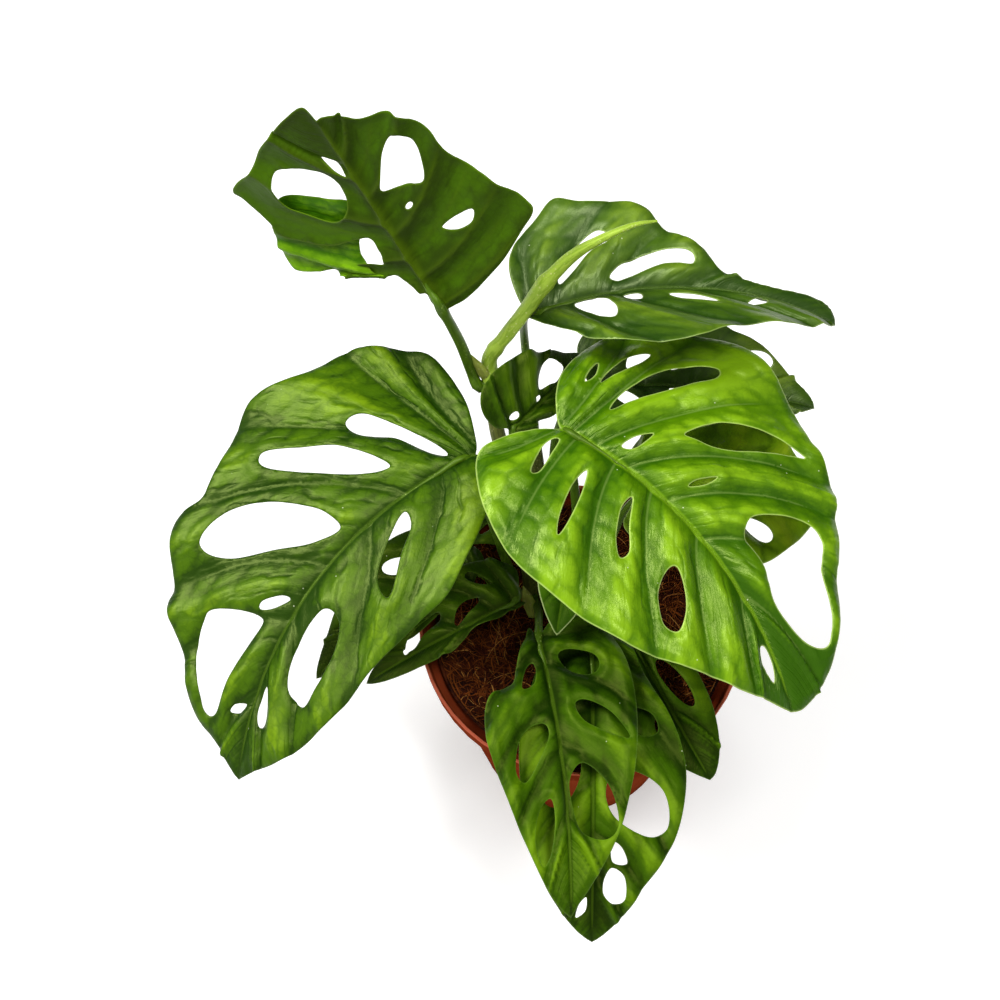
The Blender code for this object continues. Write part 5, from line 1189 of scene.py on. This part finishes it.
class Nodes:
    """Adds shader nodes to one tree and links them."""

    def __init__(self, tree: bpy.types.NodeTree) -> None:
        """Keep the tree."""
        self.tree = tree

    def fill(self, node: bpy.types.Node, inputs: dict) -> None:
        """Link a wire to each input of a node, or set its value. A colour gets its alpha."""
        for key, value in inputs.items():
            socket = node.inputs[key]
            if isinstance(value, Wire):
                self.tree.links.new(value.socket, socket)
            else:
                socket.default_value = (*value, 1.0) if socket.type == "RGBA" else value

    def add(self, kind: str, inputs: dict, **settings) -> bpy.types.Node:
        """Add a node of the kind, set its properties and fill its inputs."""
        node = self.tree.nodes.new("ShaderNode" + kind)
        for key, value in settings.items():
            setattr(node, key, value)
        self.fill(node, inputs)
        return node

    def out(self, kind: str, output: str | int, inputs: dict | None = None, **settings) -> Wire:
        """Wire from one output of a new node.

        Args:
            kind: Blender's name of the node type, without ShaderNode.
            output: Name or number of the output.
            inputs: Name or number of each input to its wire or value.
            settings: Properties of the node.

        Returns:
            The wire.
        """
        return Wire(self, self.add(kind, inputs or {}, **settings).outputs[output])

    def math(self, operation: str, a: Wire | float, b: Wire | float = 0.0) -> Wire:
        """One sum, product or other operation on two numbers."""
        return self.out("Math", 0, {0: a, 1: b}, operation=operation)

    def spread(self, value: Wire, low: float, high: float, to_low: float = 0.0,
               to_high: float = 1.0) -> Wire:
        """Value from low to high eased onto to_low to to_high."""
        return self.out("MapRange", "Result",
                        {"Value": value, "From Min": low, "From Max": high,
                         "To Min": to_low, "To Max": to_high},
                        interpolation_type="SMOOTHSTEP")

    def coated(self, color: Wire | Color, *coats: tuple[Wire, Wire | Color]) -> Wire:
        """Colour with coats mixed over it in order, each a share and a colour."""
        for share, coat in coats:
            color = self.out("Mix", 2, {0: share, 6: color, 7: coat}, data_type="RGBA")
        return color

    def value(self, name: str) -> Wire:
        """The piece's stored attribute of this name."""
        return self.out("Attribute", "Fac", attribute_name=name)

    def map(self, name: str) -> Wire:
        """The piece's map of this name."""
        return self.out("UVMap", "UV", uv_map=name)

    def place(self) -> Wire:
        """Object coordinates in metres."""
        return self.out("TexCoord", "Object")

    def noise(self, vector: Wire, scale: float, detail: float = 3.0, rough: float = 0.5,
              twist: float = 0.0) -> Wire:
        """Noise texture's value at the vector."""
        return self.out("TexNoise", "Fac", {"Vector": vector, "Scale": scale, "Detail": detail,
                                            "Roughness": rough, "Distortion": twist})

    def cells(self, output: str, vector: Wire, scale: float, feature: str = "F1") -> Wire:
        """Voronoi texture's distance or colour at the vector."""
        return self.out("TexVoronoi", output, {"Vector": vector, "Scale": scale}, feature=feature)

    def moved(self, vector: Wire, offset: Point = (0, 0, 0), scale: Point = (1, 1, 1)) -> Wire:
        """Vector shifted and stretched."""
        return self.out("Mapping", "Vector", {"Vector": vector, "Location": offset, "Scale": scale})

    def bump(self, height: Wire, strength: float, distance: float) -> Wire:
        """Normal bent by a height map."""
        return self.out("Bump", "Normal",
                        {"Height": height, "Strength": strength, "Distance": distance})


def tissue_group() -> bpy.types.NodeTree:
    """Patterns that all the blades share, on their own map, as one group made at its first use.

    Mottle is slow noise broken by finer noise. Net is the fine mesh of veins, from the distance
    to the edges of Voronoi cells. Specks are rare small dots. Grain is fine noise.
    """
    name = "leaf tissue"
    if name in bpy.data.node_groups:
        return bpy.data.node_groups[name]
    tree = bpy.data.node_groups.new(name, "ShaderNodeTree")
    tree.interface.new_socket("Vector", in_out="INPUT", socket_type="NodeSocketVector")
    for title in ("Mottle", "Net", "Specks", "Grain"):
        tree.interface.new_socket(title, in_out="OUTPUT", socket_type="NodeSocketFloat")
    nodes = Nodes(tree)
    at = Wire(nodes, tree.nodes.new("NodeGroupInput").outputs["Vector"])
    slow, fine = nodes.noise(at, 6.5, 3.0, 0.55, 0.6), nodes.noise(at, 26.0, 3.0, 0.6, 0.3)
    cloud = nodes.out("TexNoise", "Color", {"Vector": at, "Scale": 18.0, "Detail": 2.0})
    bent = nodes.out("Mix", 1, {0: 0.035, 4: at, 5: cloud}, data_type="VECTOR")
    mesh = nodes.cells("Distance", bent, 34.0, "DISTANCE_TO_EDGE")
    chance = nodes.out("SeparateColor", 0, {"Color": nodes.cells("Color", at, 30.0)})
    dot = nodes.spread(nodes.cells("Distance", at, 30.0), 0.045, 0.085, 1.0, 0.0)
    nodes.fill(tree.nodes.new("NodeGroupOutput"), {
        "Mottle": nodes.spread(slow * 0.68 + fine * 0.32, 0.43, 0.62),
        "Net": nodes.spread(mesh, 0.02, 0.16, 1.0, 0.0),
        "Specks": nodes.math("GREATER_THAN", chance, 0.90) * dot,
        "Grain": nodes.noise(at, 160.0, 3.0, 0.6)})
    return tree


def new_material(name: str) -> tuple[bpy.types.Material, Nodes, bpy.types.Node]:
    """Material with its node helper and its Principled shader."""
    mat = bpy.data.materials.new(name)
    mat.use_nodes = True
    return mat, Nodes(mat.node_tree), mat.node_tree.nodes["Principled BSDF"]


def scaled(color: Color, by: float) -> Color:
    """Colour made darker or lighter."""
    return tuple(by * c for c in color)


class Light:
    """How much each pattern of a blade lightens it."""

    MOTTLE = 0.26
    # crowns lighten the blade partly as its own colour and partly as painted light through the raised
    # pillows
    CROWN = 0.95
    TINT = 0.06
    STREAK = 0.10
    MOTTLED_STREAK = 0.09
    STROKES = 0.28


def leaf_material(name: str, finish: LeafFinish, seed: int) -> bpy.types.Material:
    """Blade: mottled green with darker grooves above, paler raised veins below, a pale margin.

    Args:
        name: Leaf's name.
        finish: Its colours and gloss.
        seed: Shifts the patterns, so that no two leaves are alike.

    Returns:
        The material.
    """
    mat, nodes, shader = new_material("blade " + name)
    at = nodes.moved(nodes.map("own"), (seed * 3.7, seed * 1.9, 0.0))
    tissue = nodes.add("Group", {"Vector": at}, node_tree=tissue_group())
    mottle, net, specks, grain = (Wire(nodes, socket) for socket in tissue.outputs)
    vein, crown, rib, margin, upper, tint, tone, streak = map(nodes.value, (
        "vein", "crown", "rib", "margin", "upper", "tint", "tone", "streak"))
    bands = nodes.map("bands")
    strokes = nodes.noise(nodes.moved(bands, (seed * 1.3, 0.0, 0.0), (70.0, 13.0, 1.0)), 1.0, 4.0,
                          0.6)
    count = nodes.moved(bands, scale=(CREASES * UV_UNIT / Blade.BAND, 1.0, 1.0))
    course = nodes.out("SeparateXYZ", "X", {"Vector": count}) + nodes.noise(at, 7.0, 2.0) * 1.4
    off = nodes.math("ABSOLUTE", nodes.math("FRACT", course) - 0.5)
    there = nodes.noise(nodes.moved(bands, (0.0, seed * 0.7, 0.0), (24.0, 9.0, 1.0)), 1.0, 2.0)
    crease = nodes.spread(off, 0.01, 0.17, 1.0, 0.0) * nodes.spread(there, 0.40, 0.58)
    # lit adds the painted light and shade of tone to the blade's own patterns
    lit = (mottle * (Light.MOTTLE * finish.mottle) + crown * Light.CROWN + tint * Light.TINT
           + streak * (Light.STREAK + Light.MOTTLED_STREAK * finish.mottle)
           + (strokes - 0.5) * Light.STROKES + tone - net * finish.net - crease * finish.crease
           - nodes.spread(margin, 0.5, 4.0, finish.border, 0.0))
    # through lit, the crowns take the colour from deep to bright: partly own colour, partly painted
    # light
    top = nodes.coated(
        finish.deep,
        (nodes.spread(lit, 0.00, 0.58), finish.body),
        (nodes.spread(lit, 0.52, 1.20), finish.bright),
        (vein * 0.55, finish.deep),
        (nodes.spread(vein, 0.55, 0.95) * finish.vein_line, finish.edge),
        (nodes.spread(rib, 0.02, 0.45) * finish.rib_shade, finish.deep),
        (nodes.spread(rib, 0.35, 0.85) * finish.rib_line, finish.rib),
        (specks * finish.specks, finish.speck))
    low = nodes.coated(
        scaled(finish.under, 0.65),
        (nodes.spread(lit, 0.0, 0.95), scaled(finish.under, 1.7)),
        (net * 0.12, scaled(finish.under, 0.5)),
        (vein * 0.45, finish.under_vein),
        (rib * 0.75, finish.under_vein))
    pale = nodes.spread(margin, 0.02, 0.50, 1.0, 0.0) * finish.edge_line
    relief = (grain * 0.25 - net * (0.5 * finish.net) + strokes * finish.pucker
              - crease * (3.5 * finish.crease))
    nodes.fill(shader, {
        "Base Color": nodes.coated(low, (upper, top), (pale, finish.edge)),
        "Roughness": (finish.roughness + nodes.noise(at, 9.0, 4.0, 0.6) * 0.14
                      + (1.0 - upper) * 0.14),
        "Specular IOR Level": finish.gloss,
        "Specular Tint": finish.sheen,
        "Normal": nodes.bump(relief, 0.55, 0.0003)})
    return mat


def vine_material(name: str, finish: VineFinish) -> bpy.types.Material:
    """Skin of a vine or stalk: long streaks, small specks and a fine lengthwise grain."""
    name = "skin " + name
    if name in bpy.data.materials:
        return bpy.data.materials[name]
    mat, nodes, shader = new_material(name)
    own, place = nodes.map("own"), nodes.place()
    long = nodes.moved(own, (0.3, 0.1, 0.0), (7.0, 9.0, 1.0))
    streak = nodes.spread(nodes.noise(long, 1.6, 4.0, 0.6, 0.4), 0.42, 0.62)
    cloud = nodes.noise(place, 90.0, 3.0, 0.6)
    dot = nodes.spread(nodes.cells("Distance", place, 700.0), 0.12, 0.3, 1.0, 0.0)
    grain = (nodes.noise(nodes.moved(own, scale=(40.0, 6.0, 1.0)), 2.0, 3.0)
             + nodes.noise(place, 1500.0, 2.0) * 0.5)
    nodes.fill(shader, {
        "Base Color": nodes.coated(finish.body, (streak * 0.8, finish.streak),
                                   (dot * nodes.spread(cloud, 0.45, 0.65), finish.speck)),
        "Roughness": finish.roughness - 0.08 + cloud * 0.16,
        "Specular IOR Level": 0.3,
        "Specular Tint": (0.90, 1.0, 0.50),
        "Normal": nodes.bump(grain, finish.bump, 0.0002)})
    return mat


@dataclass(frozen=True)
class CoirFinish:
    """Colours of the coir: fibres from dark to red, a few tan, and the crumbs of the body."""

    dark: Color = (0.045, 0.006, 0.001)
    red: Color = (0.240, 0.060, 0.008)
    tan: Color = (0.560, 0.250, 0.060)
    soiled: Color = (0.040, 0.006, 0.001)
    crumb_deep: Color = (0.010, 0.001, 0.0003)
    crumb: Color = (0.080, 0.015, 0.003)

    def material(self, name: str, loose: bool) -> bpy.types.Material:
        """Coir of the loose fibres, coloured by their tint, or of the body."""
        mat, nodes, shader = new_material(name)
        place = nodes.place()
        cloud = nodes.noise(place, 260.0, 5.0, 0.65, 0.3)
        if loose:
            tint = nodes.value("tint")
            color = nodes.coated(self.dark, (nodes.spread(tint, 0.25, 0.80), self.red),
                                 (nodes.spread(tint, 0.86, 0.99), self.tan),
                                 (cloud * 0.35, self.soiled))
        else:
            color = nodes.coated(self.crumb_deep, (nodes.spread(cloud, 0.40, 0.68), self.crumb))
        nodes.fill(shader, {"Base Color": color, "Roughness": 0.85, "Specular IOR Level": 0.12,
                            "Normal": nodes.bump(nodes.noise(place, 900.0, 4.0, 0.7), 0.6, 0.0006)})
        return mat


@dataclass(frozen=True)
class PotFinish:
    """Thin terracotta coloured plastic: faint mottling, fine grain, scuffs and a painted highlight on
    the rim.

    lip is the colour of that painted highlight, laid between the heights lip_highlight_from and
    lip_highlight_to, in metres.
    """

    deep: Color = (0.130, 0.018, 0.005)
    body: Color = (0.190, 0.032, 0.010)
    scuff: Color = (0.380, 0.150, 0.090)
    # painted highlight along the top of the rim
    lip: Color = (0.420, 0.095, 0.050)
    lip_highlight_from: float = 0.0908
    lip_highlight_to: float = 0.0916

    def material(self) -> bpy.types.Material:
        """The plastic."""
        mat, nodes, shader = new_material("terracotta plastic")
        place = nodes.place()
        cloud = nodes.noise(place, 30.0, 4.0, 0.6)
        marks = nodes.noise(nodes.moved(place, scale=(1.0, 1.0, 0.35)), 420.0, 4.0, 0.7)
        height = nodes.out("SeparateXYZ", "Z", {"Vector": place})
        nodes.fill(shader, {
            "Base Color": nodes.coated(
                self.deep, (nodes.spread(cloud, 0.35, 0.7), self.body),
                (nodes.spread(marks, 0.60, 0.74) * 0.16, self.scuff),
                # painted highlight: a paler band along the top of the rim
                (nodes.spread(height, self.lip_highlight_from, self.lip_highlight_to), self.lip)),
            "Roughness": 0.36 + cloud * 0.18,
            "Specular IOR Level": 0.0,
            "Normal": nodes.bump(nodes.noise(place, 2200.0, 3.0, 0.6), 0.12, 0.0002)})
        return mat


@dataclass
class Coir:
    """Filling of the pot: a lumpy body and the loose fibres that lie on it.

    The surface stands rise above top in the middle, falls outwards by fall and is banked up by
    bank at its radius. lump is the height of a lump and pace its size. foot and slope give the
    radius just inside the pot's wall at each height. fibres and long_fibres are counts, and
    points is how many make a fibre's middle line.
    """

    top: float = 84.6
    rise: float = 1.4
    fall: float = 2.2
    bank: float = 3.0
    radius: float = 54.2
    fibres: int = 3200
    long_fibres: int = 420
    points: int = 9
    lump: float = 1.1
    pace: float = 6.5
    foot: float = 36.4
    slope: float = 18.0 / 92.0
    finish: CoirFinish = CoirFinish()

    def ground(self, x: np.ndarray, y: np.ndarray) -> np.ndarray:
        """Height of the coir: a low dome with layered lumps, banked up against the wall."""
        r = np.hypot(x, y)
        share = r / self.radius
        dome = self.top + self.rise - self.fall * share**2 + self.bank * share**6
        lumps = layered_noise(x / self.pace, y / self.pace, 21, 4)
        return dome + self.lump * lumps * ease(1.02, 0.9, share)

    def body(self) -> bpy.types.Object:
        """Turned body: the lumpy top, the wall side and the floor side in one closed surface."""
        rings = np.linspace(0.5, self.radius, 64)
        a = angles(160)
        x = rings[:, None] * np.cos(a)[None]
        y = rings[:, None] * np.sin(a)[None]
        z = self.ground(x, y)
        inside = [(self.foot + self.slope * z, z) for z in (82.6, 60.0, 5.0)]
        down = np.array([*inside, (34.0, 2.2), (0.5, 2.0)])
        lx = down[:, :1] * np.cos(a)[None]
        ly = down[:, :1] * np.sin(a)[None]
        lz = np.repeat(down[:, 1:], len(a), 1)
        grid = np.concatenate([np.stack([x, y, z], -1), np.stack([lx, ly, lz], -1)])
        n, m = grid.shape[:2]
        faces = grid_faces(n, m)[:, (0, 3, 2, 1)].tolist()
        faces += [list(range(m)), list(range((n - 1) * m, n * m))[::-1]]
        obj = put_mesh("coir_body", grid.reshape(-1, 3), faces)
        return settle(obj, self.finish.material("coir body", loose=False), "coir_soil")

    def threads(self, name: str, count: int, seed: int, girth: tuple[float, float],
                reach: tuple[float, float], lift: float) -> bpy.types.Object:
        """Loose fibres: three-sided tubes that wander over the ground and arch above it.

        A fibre's heading turns steadily, with a small sine added. Its height is the ground's
        plus a lift sin(pi s), so that both ends dip into the coir.

        Args:
            name: Name of the piece.
            count: Number of fibres.
            seed: Which random layout.
            girth: Least and greatest thickness.
            reach: Least and greatest length.
            lift: Greatest height of an arch.

        Returns:
            All the fibres as one mesh.
        """
        rng = np.random.default_rng(seed)
        r = (self.radius - 3.5) * np.sqrt(rng.uniform(0, 1, count))
        way = rng.uniform(0, 2 * np.pi, count)
        heading = rng.uniform(0, 2 * np.pi, count)
        turn = rng.normal(0, 0.9, count)
        wiggle = rng.uniform(0.05, 0.45, count)
        beat = rng.uniform(3, 9, count)
        length = rng.uniform(*reach, count)
        s = np.linspace(0, 1, self.points)
        angle = (heading[:, None] + turn[:, None] * s[None]
                 + wiggle[:, None] * np.sin(beat[:, None] * s[None] + way[:, None]))
        step = length[:, None] / (self.points - 1)
        x = r[:, None] * np.cos(way)[:, None] + np.cumsum(np.cos(angle) * step, 1)
        y = r[:, None] * np.sin(way)[:, None] + np.cumsum(np.sin(angle) * step, 1)
        far = np.hypot(x, y)
        pull = np.minimum(1.0, (self.radius - 1.2) / np.maximum(far, 1e-6))
        x, y = x * pull, y * pull
        arch = rng.uniform(0.0, lift, count)[:, None] * np.sin(np.pi * s)[None]
        z = self.ground(x, y) + arch + rng.uniform(-0.1, 0.25, count)[:, None]
        width = rng.uniform(*girth, count)[:, None] * (0.35 + 0.65 * np.sin(np.pi * s)[None] ** 0.5)
        a = np.array([0.5, 2.6, 4.7])
        sx, sy = -np.sin(angle), np.cos(angle)
        verts = np.stack([
            x[..., None] + sx[..., None] * width[..., None] * np.cos(a),
            y[..., None] + sy[..., None] * width[..., None] * np.cos(a),
            z[..., None] + width[..., None] * np.sin(a)], -1)
        per = self.points * 3
        at = (np.arange(count) * per)[:, None, None]
        faces = (grid_faces(self.points, 3)[None] + at).reshape(-1, 4)
        caps = np.array([[2, 1, 0], [per - 3, per - 2, per - 1]])
        ends = (caps[None] + at).reshape(-1, 3)
        obj = put_mesh(name, verts.reshape(-1, 3), faces.tolist() + ends.tolist())
        put_values(obj, "tint", np.repeat(rng.uniform(0, 1, count), per))
        return settle(obj, self.finish.material(name, loose=True))

    def build(self) -> list[bpy.types.Object]:
        """Body, a thick mat of short fibres and fewer long ones on top."""
        return [self.body(),
                self.threads("coir_mat", self.fibres, seed=31, girth=(0.10, 0.30),
                             reach=(3.0, 13.0), lift=1.3),
                self.threads("coir_long_fibres", self.long_fibres, seed=32, girth=(0.08, 0.17),
                             reach=(16.0, 34.0), lift=2.6)]


@dataclass
class Studio:
    """Plain floor, soft light from all round, two softboxes and the photograph's camera.

    The world shines with the strength dome from bright_side and dim from the side across.
    glow is the floor's own light, and aim is where the softboxes point. All are in metres,
    apart from the lens, the sensor and the floor's sizes, in millimetres.
    """

    lens: float = 68.175
    sensor: float = 36.0
    place: Point = (-0.0301, -0.3182, 0.7172)
    tilt_down: float = 59.286
    dome: float = 0.55
    dim: float = 0.06
    glow: float = 0.42
    bright_side: Point = (-0.35, -0.75, 0.56)
    aim: Point = (0.0, 0.0, 0.15)
    half_floor: float = 4000.0
    floor_height: float = -0.5
    floor_tones: tuple[Color, Color] = ((0.74, 0.74, 0.735), (0.76, 0.76, 0.755))

    def camera(self) -> None:
        """Camera that looks along +Y and down, with no roll."""
        data = bpy.data.cameras.new("camera")
        data.lens = self.lens
        data.sensor_width = self.sensor
        data.clip_start = 0.01
        obj = bpy.data.objects.new("camera", data)
        obj.location = self.place
        obj.rotation_euler = Euler((math.radians(90.0 - self.tilt_down), 0.0, 0.0))
        bpy.context.collection.objects.link(obj)
        bpy.context.scene.camera = obj

    def softbox(self, name: str, place: Point, size: float, power: float) -> None:
        """Square area light aimed at the plant."""
        data = bpy.data.lights.new(name, "AREA")
        data.size = size
        data.energy = power
        obj = bpy.data.objects.new(name, data)
        obj.location = place
        way = Vector(self.aim) - Vector(place)
        obj.rotation_euler = way.to_track_quat("-Z", "Y").to_euler()
        bpy.context.collection.objects.link(obj)

    def floor(self) -> None:
        """Pale matte floor under the pot."""
        half = self.half_floor
        corners = [(x * half, y * half, self.floor_height)
                   for x, y in ((-1, -1), (1, -1), (1, 1), (-1, 1))]
        obj = put_mesh("floor", corners, [(0, 1, 2, 3)], smooth=False)
        mat, nodes, shader = new_material("pale floor")
        dark, pale = self.floor_tones
        nodes.fill(shader, {
            "Base Color": nodes.coated(dark, (nodes.noise(nodes.place(), 8.0, 2.0), pale)),
            "Roughness": 0.9,
            "Specular IOR Level": 0.1,
            "Emission Color": (1.0, 1.0, 1.0),
            "Emission Strength": self.glow})
        obj.data.materials.append(mat)

    def build(self) -> None:
        """Set the world's light, the view's colour handling, the lights, floor and camera."""
        world = bpy.data.worlds.new("studio")
        world.use_nodes = True
        nodes = Nodes(world.node_tree)
        faced = nodes.out("VectorMath", "Value",
                          {0: nodes.out("TexCoord", "Generated"), 1: self.bright_side},
                          operation="DOT_PRODUCT")
        light = nodes.spread(faced, -0.6, 0.9, self.dim, self.dome)
        seen = nodes.out("LightPath", "Is Camera Ray")
        nodes.fill(world.node_tree.nodes["Background"], {
            "Color": (1.0, 1.0, 1.0), "Strength": nodes.math("MAXIMUM", light, seen)})
        bpy.context.scene.world = world
        bpy.context.scene.view_settings.view_transform = "Standard"
        self.softbox("window", place=(-0.60, 0.0, 1.12), size=0.40, power=14.0)
        self.softbox("overhead", place=(0.22, -0.28, 1.30), size=0.32, power=8.5)
        self.floor()
        self.camera()


def dress_pot() -> None:
    """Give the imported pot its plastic."""
    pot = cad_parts["pot"]
    mat = PotFinish().material()
    for place in pot.material_slots:
        place.material = mat
    if not pot.material_slots:
        pot.data.materials.append(mat)


def report(piece: bpy.types.Object) -> None:
    """Log one piece."""
    log.info("%s: %d faces", piece.name, len(piece.data.polygons))


def main() -> None:
    """Build the pieces in order and report each."""
    logging.basicConfig(level=logging.INFO, format="%(name)s: %(message)s")
    Studio().build()
    dress_pot()
    for piece in Coir().build():
        report(piece)
    vines = [Vine(name.replace("stem_", "vine_"), name, line, radii)
             for name, (line, radii) in STEMS.items()]
    line, radii = (foot + rest for foot, rest in zip(SHOOT_FOOT, SHOOT))
    vines.append(Vine("shoot", "growing_shoot", line, radii, (0.24, 0.58), finish=SHOOT_SKIN))
    for piece in (*vines, *SHEATHS):
        report(piece.build())
    for seed, leaf in enumerate(LEAVES, start=1):
        blade = Blade(leaf, seed)
        report(blade.build())
        report(Petiole(leaf, blade.sheet).build())


if __name__ == "__main__":
    main()
